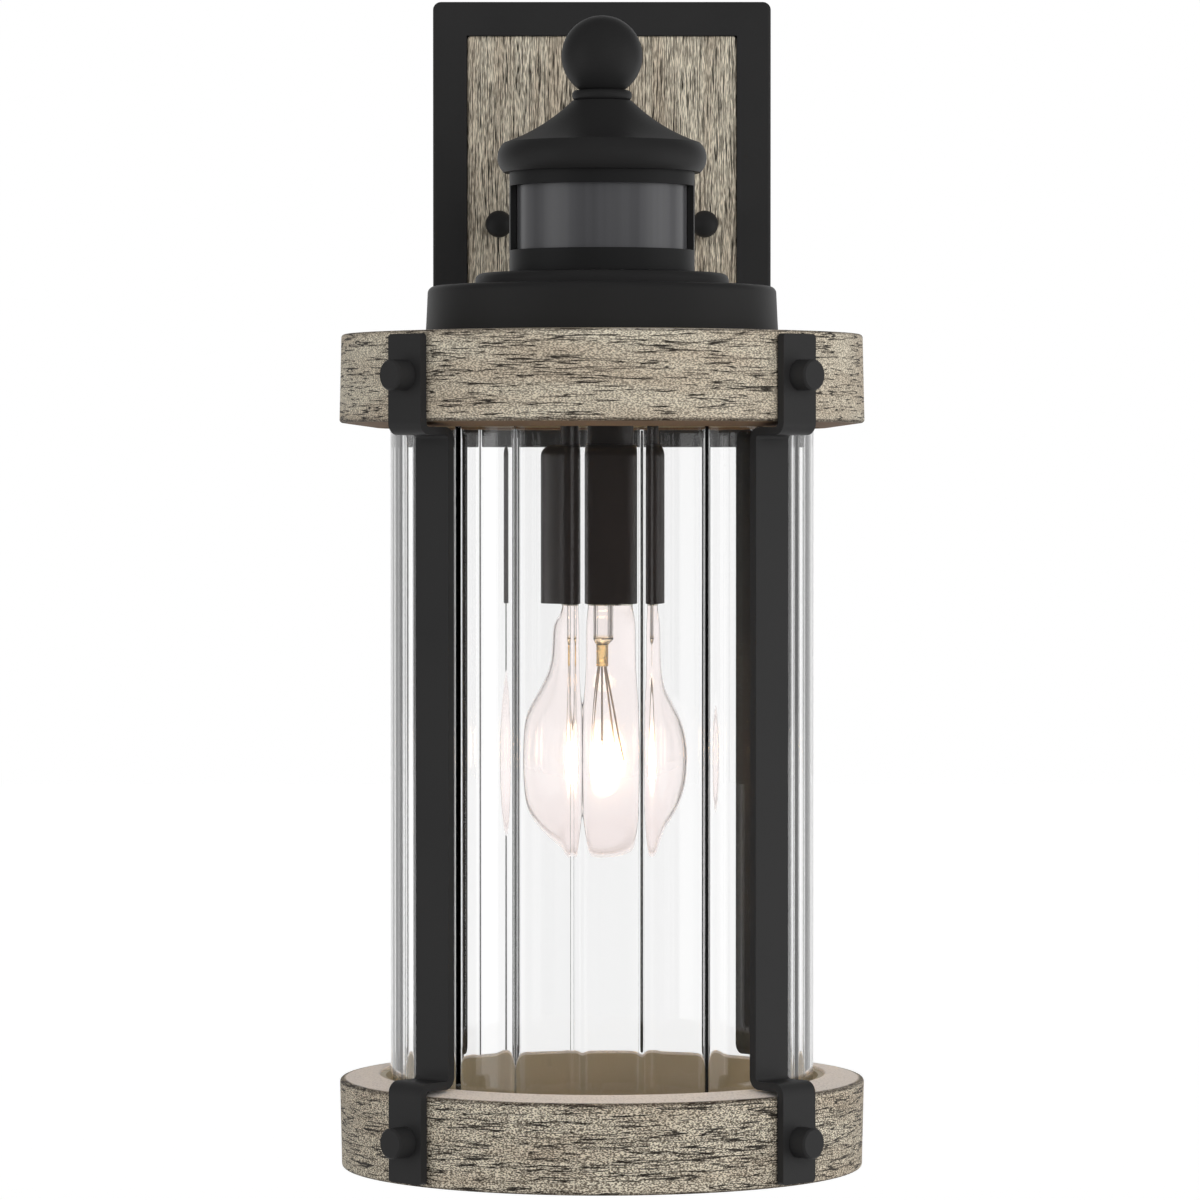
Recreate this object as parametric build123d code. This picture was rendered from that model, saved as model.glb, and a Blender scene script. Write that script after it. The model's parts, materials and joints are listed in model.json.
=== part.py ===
from build123d import *
import math
import os

# Outdoor wall lantern with a motion sensor on its lid, in millimetres.
# +Z is up, the wall is the plane y = 0 and the lantern stands off it towards -Y.
# The origin is the centre of the wall plate, on the wall.

# Clearances
FIT = 0.1            # between two fixed pieces that slide together
RUNNING = 0.06       # radial, round a shaft that turns in its hole
FREE = 0.3           # between pieces that move past each other

# Where the lantern hangs
AXIS_REACH = 136.0   # wall to the lantern's upright axis
RING_TOP_DROP = 43.75  # plate centre down to the upper face of the top ring

# Wall plate, its wood panel and its gasket
PLATE_WIDTH = 125.0
PLATE_HEIGHT = 164.6
PLATE_DEPTH = 22.0   # wall to the front of the frame
PLATE_FRAME = 12.5   # width of the frame round the panel
PLATE_FRONT = 6.0    # thickness of the frame at the front
PLATE_WALL = 2.5
PLATE_CORNER = 3.0
PLATE_EDGE = 1.2
PANEL_THICKNESS = 2.8
PANEL_SUNK = 0.7     # panel face behind the frame's face
GASKET = 2.0         # thickness on the wall
GASKET_WIDTH = 6.0

# Bracket that screws to the outlet box
BRACKET_THICKNESS = 2.0
BRACKET_WIDTH = 22.0
BRACKET_TALL = 112.0
BRACKET_LONG = 98.0
BOX_SCREW_SPACING = 79.4
BOX_SLOT_LENGTH = 14.3
BOX_SLOT_WIDTH = 4.8
STUD_SPACING = 76.0
STUD_RADIUS = 2.0
LOCK_NUT_FLATS = 7.0
LOCK_NUT_HEIGHT = 3.0
CAP_NUT_RADIUS = 5.0
CAP_NUT_FLAT = 0.8   # how much of the ball is cut off where it seats
GROUND_SCREW_X = 20.0
GROUND_SCREW_RADIUS = 1.9
GROUND_HEAD_FLATS = 7.0
GROUND_HEAD_HEIGHT = 3.0

# Arm from the plate to the lid
ARM_WIDTH = 30.0
ARM_HEIGHT = 13.0
ARM_WALL = 1.6
ARM_CORNER = 2.0
ARM_END = 40.0       # open end of the tube behind the lantern's axis
FOOT_THICKNESS = 3.0
FOOT_MARGIN_X = 9.0
FOOT_MARGIN_Z = 8.0
TONGUE_THICKNESS = 3.0
TONGUE_LAP = 12.0    # tongue inside the tube
SMALL_SCREW_RADIUS = 1.75
SMALL_HEAD_RADIUS = 3.2
SMALL_HEAD_HEIGHT = 2.2
PAN_SCREW_PLACES = (22.0, 33.0)  # behind the axis
BUSHING_LENGTH = 8.0
BUSHING_RIM = 1.5

# Wiring
LEAD_RADIUS = 0.9
LEAD_SPREAD = 9.0    # leads in the arm, each side of the middle
LEAD_PAIR = 1.5      # leads in the threaded tube, each side of the middle
LEAD_BEND = 2.5
CONNECTOR_RADIUS = 5.0
CONNECTOR_LENGTH = 18.0
CONNECTOR_FRONT = 18.0  # front of the connectors behind the axis

# Rings, pan, cup and glass
RING_RADIUS = 92.0
RING_DRAFT = 0.7     # ring is this much smaller at its outer rim
RING_WALL = 14.0     # from its bore to its outer face
RING_HEIGHT = 30.8
RING_LIP = 2.0       # inner edge stands this far past the outer edge
RING_GAP = 229.9     # between the outer edges of the two rings
RING_EDGE = 1.2
PAN_THICKNESS = 2.0
PAN_PROUD = 0.5      # pan above the top ring
PAN_EDGE = 1.5
FLANGE_SHORT = 1.0   # flange ends inside the ring's inner edge
LEDGE_RADIUS = 52.0  # open bottom of the lower cup
LEDGE_INSET = 2.2    # lower cup above the ring's bottom
GLASS_GAP = 3.75     # between the glass and the rings' bore
GLASS_WALL = 3.0
GLASS_RIBS = 19
GLASS_RIB_PHASE = 6.7  # degrees from the front to the nearest rib
RIB_WIDTH = 7.0
RIB_HEIGHT = 1.35
GLASS_SEAL = 2.5
SEAL_INSIDE = 1.5    # seal past the glass wall, inwards
SEAL_OUTSIDE = 0.9   # and outwards

# Straps and their bolts
STRAP_WIDTH = 16.0
STRAP_THICKNESS = 2.8
STRAP_CLEAR = 4.95   # between the glass and the strap's long leg
STRAP_SHORT = 1.3    # strap ends inside the ring's outer rim
STRAP_BEND = 1.4     # inner bend radius
STRAP_CORNER = 1.5
STRAP_CORNERS = ("rear_right", "rear_left", "front_left", "front_right")
STRAP_FIRST_ANGLE = 45.0
BOLT_RADIUS = 2.5
BOLT_HEAD_RADIUS = 5.3
BOLT_HEAD_LENGTH = 7.0
BOLT_BEVEL = 0.6

# Drum on the lid, sensor base and swivel
DRUM_RADIUS = 61.8
DRUM_TOP_RADIUS = 61.0
DRUM_HEIGHT = 16.35
DRUM_WALL = 1.6
DRUM_EDGE = 2.5
BASE_RADIUS = 44.5
BASE_HEIGHT = 4.5
BASE_EDGE = 2.5
BASE_SCREW_PLACE = 28.0
SWIVEL_WASHER = 0.5
SWIVEL_WASHER_RADIUS = 29.0
SPRING_WASHER = 1.0
SPRING_WASHER_RADIUS = 9.0
TUBE_RADIUS = 5.0    # threaded tube that holds the stack
TUBE_BORE = 3.5
TUBE_PAST_NUT = 1.5
TUBE_NUT_FLATS = 14.0
TUBE_NUT_HEIGHT = 3.0
TUBE_SLOT_WIDTH = 6.5

# Sensor head
HEAD_RADIUS = 32.5
HEAD_HEIGHT = 34.9
HEAD_WALL = 2.2
HEAD_FLOOR = 2.5
WINDOW_SILL = 7.6    # head's underside up to the window
WINDOW_HEIGHT = 22.5
WINDOW_HALF_ANGLE = 80.0
LENS_HALF_ANGLE = 86.0
LENS_THICKNESS = 1.2
BRIDGE_THICKNESS = 3.0
BRIDGE_WIDTH = 14.0
RAIL_DEPTH = 5.5
RAIL_SIDE = 1.4
BOARD_THICKNESS = 1.6
BOARD_RADIUS = 27.0  # half of the board's width
BOARD_HEIGHT = 19.0
PIR_RADIUS = 4.6
PIR_DEPTH = 4.5
CELL_RADIUS = 2.5
CELL_DEPTH = 2.0
CELL_OFFSET = 13.0
RELAY_SIZE = (18.0, 12.0, 14.0)
PAD_REACH = 33.6     # axis to the face of the control pad
PAD_WIDTH = 40.0
PAD_HEIGHT = 15.0
PAD_WALL = 2.5
DIAL_SPACING = 12.0
DIAL_RADIUS = 4.2
DIAL_THICKNESS = 2.4
DIAL_SHAFT = 1.5
DIAL_SLOT = 1.0
POT_SIZE = (8.0, 6.0, 9.0)
POT_SOCKET = 3.0

# Roof and finial
ROOF_RADIUS = 36.7
ROOF_REST = 34.4     # radius where the brim starts and ends
ROOF_BRIM = 10.4     # height of the rounded brim
ROOF_HEIGHT = 25.2
ROOF_TIP = 10.4
ROOF_SAG = 1.6       # hollow of the slope
ROOF_WALL = 3.0
BEAD_RADIUS = 10.5
BEAD_HEIGHT = 3.6
BEAD_EDGE = 1.6
BALL_RADIUS = 14.2
BALL_SUNK = 2.2      # bottom of the ball cut off on the bead
ROD_RADIUS = 3.0
ROD_IN_BALL = 10.0

# Socket
NECK_RADIUS = 14.0
CUP_RADIUS = 21.5
CUP_WALL = 1.2
CUP_SHOULDER = 4.0
CUP_DROP = 37.15     # pan down to the cup
CUP_HEIGHT = 55.4
HOLDER_RECESS = 2.0
HOLDER_TOP_GAP = 6.5
SHELL_WALL = 0.6
SHELL_BORE = 13.4
SHELL_RECESS = 1.5
CONTACT_RADIUS = 4.0
CONTACT_THICKNESS = 1.0

# Bulb
BULB_LENGTH = 113.0
BULB_RADIUS = 30.0
BULB_WIDEST = 33.3   # crown up to the widest part
BULB_WALL = 0.8
BULB_NECK = 12.3
# Share of the drop from the cap to the widest part, and share of the widening reached there
PEAR_KNOTS = ((0.16, 0.20), (0.45, 0.37), (0.72, 0.80))
BULB_SEAT = 23.5     # tip of the bulb above the rim of the socket cup
CAP_RADIUS = 13.0
CAP_WALL = 0.5
CAP_LENGTH = 22.0
CAP_LAP = 10.0       # neck inside the cap
INSULATOR_RADIUS = 9.5
INSULATOR_HEIGHT = 1.5
TIP_RADIUS = 4.5
TIP_HEIGHT = 0.7
STEM_RADIUS = 4.0
STEM_LENGTH = 22.0
PRESS_RADIUS = 2.2
PRESS_LENGTH = 9.5
WIRE_RADIUS = 0.35
WIRE_SPREAD = 1.4    # where the wires leave the press
FILAMENT_RADIUS = 8.0
FILAMENT_WIRE = 0.45
FILAMENT_HALF_ANGLE = 140.0
SUPPORT_ANGLES = (-70.0, 0.0, 70.0)

# Heights that follow from the sizes above
RING_TOP = -RING_TOP_DROP
RING_LOW = RING_TOP - RING_HEIGHT
RING_MIDDLE = RING_TOP - RING_HEIGHT / 2
CAGE_MIDDLE = RING_LOW - RING_GAP / 2
PAN_TOP = RING_TOP + PAN_PROUD
PAN_UNDER = PAN_TOP - PAN_THICKNESS
GLASS_TOP = PAN_UNDER - GLASS_SEAL
CAGE_BOTTOM = 2 * CAGE_MIDDLE - RING_TOP
LEDGE_TOP = CAGE_BOTTOM + LEDGE_INSET + PAN_THICKNESS
GLASS_BOTTOM = LEDGE_TOP + GLASS_SEAL
FLANGE_LOW = RING_LOW - RING_LIP + FLANGE_SHORT
TONGUE_TOP = PAN_TOP + TONGUE_THICKNESS
ARM_MIDDLE = PAN_TOP + ARM_HEIGHT / 2
DRUM_TOP = PAN_TOP + DRUM_HEIGHT
BASE_TOP = DRUM_TOP + BASE_HEIGHT
HEAD_UNDER = BASE_TOP + SWIVEL_WASHER
HEAD_FLOOR_TOP = HEAD_UNDER + HEAD_FLOOR
HEAD_TOP = HEAD_UNDER + HEAD_HEIGHT
WINDOW_LOW = HEAD_UNDER + WINDOW_SILL
WINDOW_MIDDLE = WINDOW_LOW + WINDOW_HEIGHT / 2
BRIDGE_LOW = HEAD_TOP - BRIDGE_THICKNESS
HEAD_NUT_LOW = HEAD_FLOOR_TOP + SPRING_WASHER
TUBE_TOP = HEAD_NUT_LOW + TUBE_NUT_HEIGHT + TUBE_PAST_NUT
BOARD_TOP = BRIDGE_LOW - FIT
BOARD_LOW = BOARD_TOP - BOARD_HEIGHT
CUP_TOP = PAN_UNDER - CUP_DROP
CUP_RIM = CUP_TOP - CUP_HEIGHT
CUP_NUT_TOP = CUP_TOP - CUP_WALL
TUBE_LOW = CUP_NUT_TOP - TUBE_NUT_HEIGHT - TUBE_PAST_NUT
HOLDER_TOP = CUP_NUT_TOP - HOLDER_TOP_GAP
HOLDER_LOW = CUP_RIM + HOLDER_RECESS
BULB_TIP = CUP_RIM + BULB_SEAT
BULB_CROWN = BULB_TIP - BULB_LENGTH
CAP_TOP = BULB_TIP - TIP_HEIGHT - INSULATOR_HEIGHT
CAP_LOW = CAP_TOP - CAP_LENGTH
PRESS_LOW = CAP_LOW + CAP_LAP - STEM_LENGTH - PRESS_LENGTH
FILAMENT_Z = BULB_CROWN + BULB_WIDEST

# Depths and radii that follow from the sizes above
RING_BORE = RING_RADIUS - RING_WALL
GLASS_RADIUS = RING_BORE - GLASS_GAP
STRAP_INNER = GLASS_RADIUS + STRAP_CLEAR
FLANGE_RADIUS = RING_BORE - FIT
PLATE_FRONT_Y = -PLATE_DEPTH
PLATE_INSIDE_Y = PLATE_FRONT_Y + PLATE_FRONT
PANEL_FACE_Y = PLATE_FRONT_Y + PANEL_SUNK
POCKET_Y = PANEL_FACE_Y + PANEL_THICKNESS
FOOT_BACK_Y = PLATE_INSIDE_Y + FOOT_THICKNESS
PANEL_WIDTH = PLATE_WIDTH - 2 * PLATE_FRAME
PANEL_HEIGHT = PLATE_HEIGHT - 2 * PLATE_FRAME
STRAP_FACE = RING_RADIUS + FIT + STRAP_THICKNESS
CONNECTOR_Z = TONGUE_TOP + FIT + CONNECTOR_RADIUS
SOCKET_LEAD_Z = TONGUE_TOP + TUBE_NUT_HEIGHT + LEAD_RADIUS + FREE
SENSOR_LEAD_Z = SOCKET_LEAD_Z + 3 * LEAD_RADIUS
LENS_RADIUS = HEAD_RADIUS - HEAD_WALL - FREE
PAD_INSIDE = PAD_REACH - PAD_WALL
DIAL_Z = WINDOW_MIDDLE
HOLDER_RADIUS = CUP_RADIUS - CUP_WALL - FIT
AXIS = Pos(0, -AXIS_REACH, 0)


def spin(*curves):
    """Solid of revolution about the upright axis; curves are drawn as (radius, height)."""
    edges = [edge for curve in curves for edge in (Plane.XZ * curve).edges()]
    return revolve(make_face(edges), Axis.Z)


def spin_corners(points, radii):
    """Solid of revolution with a closed outline of straight runs and rounded corners."""
    return spin(FilletPolyline(*points, radius=radii, close=True))


def disc(radius, low, high):
    return extrude(Pos(0, 0, low) * Circle(radius), high - low)


def ring(outer, inner, low, high):
    return extrude(Pos(0, 0, low) * (Circle(outer) - Circle(inner)), high - low)


def hex_bar(flats, low, high):
    corner = flats / math.sqrt(3)
    return extrude(Pos(0, 0, low) * RegularPolygon(corner, 6), high - low)


def block(low, high):
    """Box between two corners."""
    size = [b - a for a, b in zip(low, high)]
    middle = [(a + b) / 2 for a, b in zip(low, high)]
    return Pos(*middle) * Box(*size)


def slab(sketch, back, front):
    """Sketch drawn as (x, z), between a back and a front depth."""
    return extrude(Plane.XZ.offset(-back) * sketch, back - front)


def rod_y(radius, x, z, back, front):
    return slab(Pos(x, z) * Circle(radius), back, front)


def mirror_cage(solid):
    """Lower copy of a piece of the cage."""
    return mirror(solid, Plane.XY.offset(CAGE_MIDDLE))


def merged(solids):
    """Several separate solids held as one group."""
    return Compound(children=[part for solid in solids for part in solid.solids()])


# Wall plate
def stud_places():
    return (-STUD_SPACING / 2, STUD_SPACING / 2)


def foot_screw_places():
    x = ARM_WIDTH / 2 + FOOT_MARGIN_X / 2
    z = ARM_HEIGHT / 2
    return [(sx * x, ARM_MIDDLE + sz * z) for sx in (-1, 1) for sz in (-1, 1)]


def arm_hole(clearance):
    return Pos(0, ARM_MIDDLE) * Rectangle(ARM_WIDTH + 2 * clearance, ARM_HEIGHT + 2 * clearance)


def wall_gasket():
    outline = RectangleRounded(PLATE_WIDTH, PLATE_HEIGHT, PLATE_CORNER)
    inside = Rectangle(PLATE_WIDTH - 2 * GASKET_WIDTH, PLATE_HEIGHT - 2 * GASKET_WIDTH)
    return slab(outline - inside, 0, -GASKET)


def mounting_bracket():
    shape = Rectangle(BRACKET_WIDTH, BRACKET_TALL) + Rectangle(BRACKET_LONG, BRACKET_WIDTH)
    for z in (-BOX_SCREW_SPACING / 2, BOX_SCREW_SPACING / 2):
        shape -= Pos(0, z) * Rot(0, 0, 90) * SlotOverall(BOX_SLOT_LENGTH, BOX_SLOT_WIDTH)
    for x in stud_places():
        shape -= Pos(x, 0) * Circle(STUD_RADIUS + FIT)
    shape -= Pos(GROUND_SCREW_X, 0) * Circle(GROUND_SCREW_RADIUS + FIT)
    return slab(shape, 0, -BRACKET_THICKNESS)


def cap_nut_middle_y():
    return PANEL_FACE_Y - CAP_NUT_RADIUS + CAP_NUT_FLAT


def bracket_studs():
    return merged(rod_y(STUD_RADIUS, x, 0, 0, cap_nut_middle_y()) for x in stud_places())


def lock_nuts():
    nut = hex_bar(LOCK_NUT_FLATS, 0, LOCK_NUT_HEIGHT) - disc(STUD_RADIUS + FIT, 0, LOCK_NUT_HEIGHT)
    turned = Rot(90, 0, 0) * nut
    return merged(Pos(x, -BRACKET_THICKNESS, 0) * turned for x in stud_places())


def cap_nuts():
    middle = cap_nut_middle_y()
    ball = Pos(0, middle, 0) * Sphere(CAP_NUT_RADIUS)
    side = 2 * CAP_NUT_RADIUS
    ball -= block((-side, PANEL_FACE_Y, -side), (side, PANEL_FACE_Y + side, side))
    ball -= rod_y(STUD_RADIUS + FIT, 0, 0, PANEL_FACE_Y, middle - FREE)
    return merged(Pos(x, 0, 0) * ball for x in stud_places())


def ground_screw():
    head = Rot(90, 0, 0) * hex_bar(GROUND_HEAD_FLATS, 0, GROUND_HEAD_HEIGHT)
    shank = rod_y(GROUND_SCREW_RADIUS, 0, 0, 0, -BRACKET_THICKNESS)
    return Pos(GROUND_SCREW_X, 0, 0) * (Pos(0, -BRACKET_THICKNESS, 0) * head + shank)


def wall_plate():
    plate = slab(RectangleRounded(PLATE_WIDTH, PLATE_HEIGHT, PLATE_CORNER), -GASKET, PLATE_FRONT_Y)
    plate = fillet(plate.faces().sort_by(Axis.Y)[0].edges(), PLATE_EDGE)
    hollow = Rectangle(PLATE_WIDTH - 2 * PLATE_WALL, PLATE_HEIGHT - 2 * PLATE_WALL)
    plate -= slab(hollow, -GASKET, PLATE_INSIDE_Y)
    plate -= slab(Rectangle(PANEL_WIDTH, PANEL_HEIGHT), POCKET_Y, PLATE_FRONT_Y)
    plate -= slab(arm_hole(FIT), PLATE_INSIDE_Y, POCKET_Y)
    for x in stud_places():
        plate -= rod_y(STUD_RADIUS + FREE, x, 0, PLATE_INSIDE_Y, POCKET_Y)
    for x, z in foot_screw_places():
        plate -= rod_y(SMALL_SCREW_RADIUS + FIT, x, z, PLATE_INSIDE_Y, POCKET_Y)
    return plate


def plate_panel():
    panel = slab(Rectangle(PANEL_WIDTH - 2 * FIT, PANEL_HEIGHT - 2 * FIT), POCKET_Y, PANEL_FACE_Y)
    panel -= slab(arm_hole(FREE), POCKET_Y, PANEL_FACE_Y)
    for x in stud_places():
        panel -= rod_y(STUD_RADIUS + FREE, x, 0, POCKET_Y, PANEL_FACE_Y)
    return panel


# Arm and wiring
def tongue_outline():
    length = ARM_END + TONGUE_LAP
    flat = Pos(0, length / 2) * Rectangle(ARM_WIDTH - 2 * ARM_WALL, length)
    return flat + Circle(ARM_WIDTH / 2)


def tongue_holes(low, high):
    holes = disc(TUBE_RADIUS + FIT, low, high)
    for place in PAN_SCREW_PLACES:
        holes += Pos(0, place, 0) * disc(SMALL_SCREW_RADIUS + FIT, low, high)
    return AXIS * holes


def arm():
    end = ARM_END - AXIS_REACH
    inner = Rectangle(ARM_WIDTH - 2 * ARM_WALL, ARM_HEIGHT - 2 * ARM_WALL)
    outer = RectangleRounded(ARM_WIDTH, ARM_HEIGHT, ARM_CORNER)
    foot = Rectangle(ARM_WIDTH + 2 * FOOT_MARGIN_X, ARM_HEIGHT + 2 * FOOT_MARGIN_Z)
    place = Pos(0, ARM_MIDDLE)
    solid = slab(place * outer, PLATE_INSIDE_Y, end)
    solid += slab(place * foot, FOOT_BACK_Y, PLATE_INSIDE_Y)
    solid -= slab(place * inner, FOOT_BACK_Y, end)
    tongue = AXIS * Pos(0, 0, PAN_TOP) * tongue_outline()
    solid += extrude(tongue, TONGUE_THICKNESS)
    solid -= tongue_holes(PAN_TOP, TONGUE_TOP)
    for x, z in foot_screw_places():
        solid -= rod_y(SMALL_SCREW_RADIUS + FIT, x, z, FOOT_BACK_Y, PLATE_INSIDE_Y)
    return solid


def arm_screws():
    screws = []
    for x, z in foot_screw_places():
        head = rod_y(SMALL_HEAD_RADIUS, x, z, FOOT_BACK_Y + SMALL_HEAD_HEIGHT, FOOT_BACK_Y)
        screws.append(head + rod_y(SMALL_SCREW_RADIUS, x, z, FOOT_BACK_Y, POCKET_Y))
    return merged(screws)


def pan_screws():
    low = PAN_UNDER - SMALL_HEAD_HEIGHT
    screw = disc(SMALL_HEAD_RADIUS, low, PAN_UNDER) + disc(SMALL_SCREW_RADIUS, PAN_UNDER, TONGUE_TOP)
    return merged(AXIS * Pos(0, place, 0) * screw for place in PAN_SCREW_PLACES)


def wire_bushing():
    width = ARM_WIDTH - 2 * ARM_WALL - 2 * FIT
    height = ARM_HEIGHT - 2 * ARM_WALL - 2 * FIT
    place = Pos(0, ARM_MIDDLE)
    back = FOOT_BACK_Y + BUSHING_RIM
    front = FOOT_BACK_Y - BUSHING_LENGTH
    bushing = slab(place * Rectangle(width, height), back, front)
    rim = Rectangle(width + 2 * ARM_WALL, height + 2 * ARM_WALL)
    bushing += slab(place * rim, back, FOOT_BACK_Y)
    for x in (-LEAD_SPREAD, LEAD_SPREAD):
        bushing -= rod_y(LEAD_RADIUS + FIT, x, CONNECTOR_Z, back, front)
    return bushing


def connector_y():
    front = CONNECTOR_FRONT - AXIS_REACH
    return front + CONNECTOR_LENGTH, front


def supply_leads():
    back = FOOT_BACK_Y + BUSHING_RIM
    end = connector_y()[0]
    return merged(rod_y(LEAD_RADIUS, x, CONNECTOR_Z, back, end) for x in (-LEAD_SPREAD, LEAD_SPREAD))


def wire_connectors():
    back, front = connector_y()
    places = (-LEAD_SPREAD, LEAD_SPREAD)
    return merged(rod_y(CONNECTOR_RADIUS, x, CONNECTOR_Z, back, front) for x in places)


def lead(side, z, depth, end_z):
    """Lead from a connector into the threaded tube and along it to a height."""
    start = connector_y()[1]
    near = TUBE_RADIUS + LEAD_BEND + LEAD_RADIUS - AXIS_REACH
    points = [
        (side * LEAD_SPREAD, start, z),
        (side * LEAD_SPREAD, (2 * start + near) / 3, z),
        (side * LEAD_PAIR, near, z),
        (side * LEAD_PAIR, depth - AXIS_REACH, z),
        (side * LEAD_PAIR, depth - AXIS_REACH, end_z),
    ]
    path = FilletPolyline(*points, radius=[LEAD_BEND, LEAD_BEND, LEAD_BEND])
    section = Plane(origin=points[0], z_dir=(0, -1, 0)) * Circle(LEAD_RADIUS)
    return sweep(section, path)


def socket_leads():
    return merged(lead(side, SOCKET_LEAD_Z, 0, HOLDER_TOP) for side in (-1, 1))


def sensor_leads():
    depth = BOARD_THICKNESS / 2
    return merged(lead(side, SENSOR_LEAD_Z, depth, BOARD_LOW - FREE) for side in (-1, 1))


# Cage: rings, pan, cup, glass, straps and bolts
def strap_angles():
    step = 360 / len(STRAP_CORNERS)
    return [STRAP_FIRST_ANGLE + index * step for index in range(len(STRAP_CORNERS))]


def strap_places():
    return [AXIS * Rot(0, 0, angle) for angle in strap_angles()]


def rod_out(radius, inner, outer, z):
    """Round bar along a radius of the lantern, at angle 0."""
    bar = Pos(0, 0, inner) * Circle(radius)
    return Pos(0, 0, z) * Rot(0, 90, 0) * extrude(bar, outer - inner)


def with_bolt_holes(solid, clearance):
    for place in strap_places():
        solid -= place * rod_out(BOLT_RADIUS + clearance, RING_BORE / 2, STRAP_FACE, RING_MIDDLE)
    return solid


def top_ring():
    outline = [
        (RING_BORE, RING_TOP),
        (RING_RADIUS - RING_DRAFT, RING_TOP),
        (RING_RADIUS, RING_LOW),
        (RING_BORE, RING_LOW - RING_LIP),
    ]
    edge = RING_EDGE
    return with_bolt_holes(AXIS * spin_corners(outline, [edge / 2, edge, edge, edge / 2]), FREE)


def flanged_disc(top, edge):
    """Round tray with a flange that hangs down inside the top ring."""
    low = FLANGE_LOW
    outline = [(0, low), (FLANGE_RADIUS, low), (FLANGE_RADIUS, top), (0, top)]
    tray = spin_corners(outline, [0, 0, edge, 0])
    return tray - disc(FLANGE_RADIUS - PAN_THICKNESS, low, top - PAN_THICKNESS)


def top_pan():
    pan = AXIS * flanged_disc(PAN_TOP, PAN_EDGE)
    pan -= tongue_holes(PAN_UNDER, PAN_TOP)
    return with_bolt_holes(pan, FIT)


def lower_cup():
    top = RING_TOP - LEDGE_INSET
    cup = flanged_disc(top, PAN_EDGE) - disc(LEDGE_RADIUS, top - PAN_THICKNESS, top)
    return mirror_cage(with_bolt_holes(AXIS * cup, FIT))


def glass_shade():
    bore = GLASS_RADIUS - GLASS_WALL
    rib_radius = (RIB_WIDTH ** 2 / 4 + RIB_HEIGHT ** 2) / (2 * RIB_HEIGHT)
    hollow = Circle(bore)
    for index in range(GLASS_RIBS):
        angle = -90 - GLASS_RIB_PHASE + index * 360 / GLASS_RIBS
        hollow -= Rot(0, 0, angle) * Pos(bore + rib_radius - RIB_HEIGHT, 0) * Circle(rib_radius)
    section = Circle(GLASS_RADIUS) - hollow
    return AXIS * extrude(Pos(0, 0, GLASS_BOTTOM) * section, GLASS_TOP - GLASS_BOTTOM)


def glass_seals():
    inner = GLASS_RADIUS - GLASS_WALL - SEAL_INSIDE
    outer = GLASS_RADIUS + SEAL_OUTSIDE
    levels = ((GLASS_TOP, PAN_UNDER), (LEDGE_TOP, GLASS_BOTTOM))
    return merged(AXIS * ring(outer, inner, low, high) for low, high in levels)


def strap_outline():
    """Side view of a strap as (radius, height): outer leg, step in, long leg, step out, outer leg."""
    half = STRAP_THICKNESS / 2
    outer = RING_RADIUS + FIT + half
    inner = STRAP_INNER + half
    step = RING_LOW - RING_LIP - FIT - half
    top = RING_TOP - STRAP_SHORT
    lower_step = 2 * CAGE_MIDDLE - step
    bottom = 2 * CAGE_MIDDLE - top
    far = [(outer + half, top), (outer + half, step - half), (inner + half, step - half)]
    far += [(inner + half, lower_step + half), (outer + half, lower_step + half), (outer + half, bottom)]
    near = [(outer - half, bottom), (outer - half, lower_step - half), (inner - half, lower_step - half)]
    near += [(inner - half, step + half), (outer - half, step + half), (outer - half, top)]
    tight = STRAP_BEND
    wide = STRAP_BEND + STRAP_THICKNESS
    radii = [0, wide, tight, tight, wide, 0, 0, tight, wide, wide, tight, 0]
    return FilletPolyline(*far, *near, radius=radii, close=True)


def strap(angle):
    face = make_face((Plane.XZ * strap_outline()).edges())
    solid = extrude(face, STRAP_WIDTH / 2, both=True)
    across = solid.edges().filter_by(Axis.X).sort_by(Axis.Z)
    solid = fillet(across[:2] + across[-2:], STRAP_CORNER)
    hole = rod_out(BOLT_RADIUS + FREE, RING_BORE, STRAP_FACE, RING_MIDDLE)
    solid -= hole
    solid -= mirror_cage(hole)
    return AXIS * Rot(0, 0, angle) * solid


def bolt():
    head = rod_out(BOLT_HEAD_RADIUS, STRAP_FACE, STRAP_FACE + BOLT_HEAD_LENGTH, RING_MIDDLE)
    head = chamfer(head.faces().sort_by(Axis.X)[-1].edges(), BOLT_BEVEL)
    return head + rod_out(BOLT_RADIUS, FLANGE_RADIUS - PAN_THICKNESS, STRAP_FACE, RING_MIDDLE)


def strap_bolts():
    upper = merged(place * bolt() for place in strap_places())
    return merged([upper, mirror_cage(upper)])


# Drum, base and the threaded tube that clamps the stack
def drum_form(inset):
    low = PAN_TOP
    high = DRUM_TOP - inset
    outline = [(0, low), (DRUM_RADIUS - inset, low), (DRUM_TOP_RADIUS - inset, high), (0, high)]
    return spin_corners(outline, [0, 0, DRUM_EDGE - inset, 0])


def base_screw_places():
    return [Pos(side * BASE_SCREW_PLACE, 0, 0) for side in (-1, 1)]


def drum():
    shell = drum_form(0) - drum_form(DRUM_WALL)
    shell -= disc(TUBE_RADIUS + FIT, DRUM_TOP - DRUM_WALL, DRUM_TOP)
    for place in base_screw_places():
        shell -= place * disc(SMALL_SCREW_RADIUS + FIT, DRUM_TOP - DRUM_WALL, DRUM_TOP)
    half = ARM_WIDTH / 2 + FIT
    shell -= block((-half, 0, PAN_TOP), (half, 2 * DRUM_RADIUS, PAN_TOP + ARM_HEIGHT + FIT))
    return AXIS * shell


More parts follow.
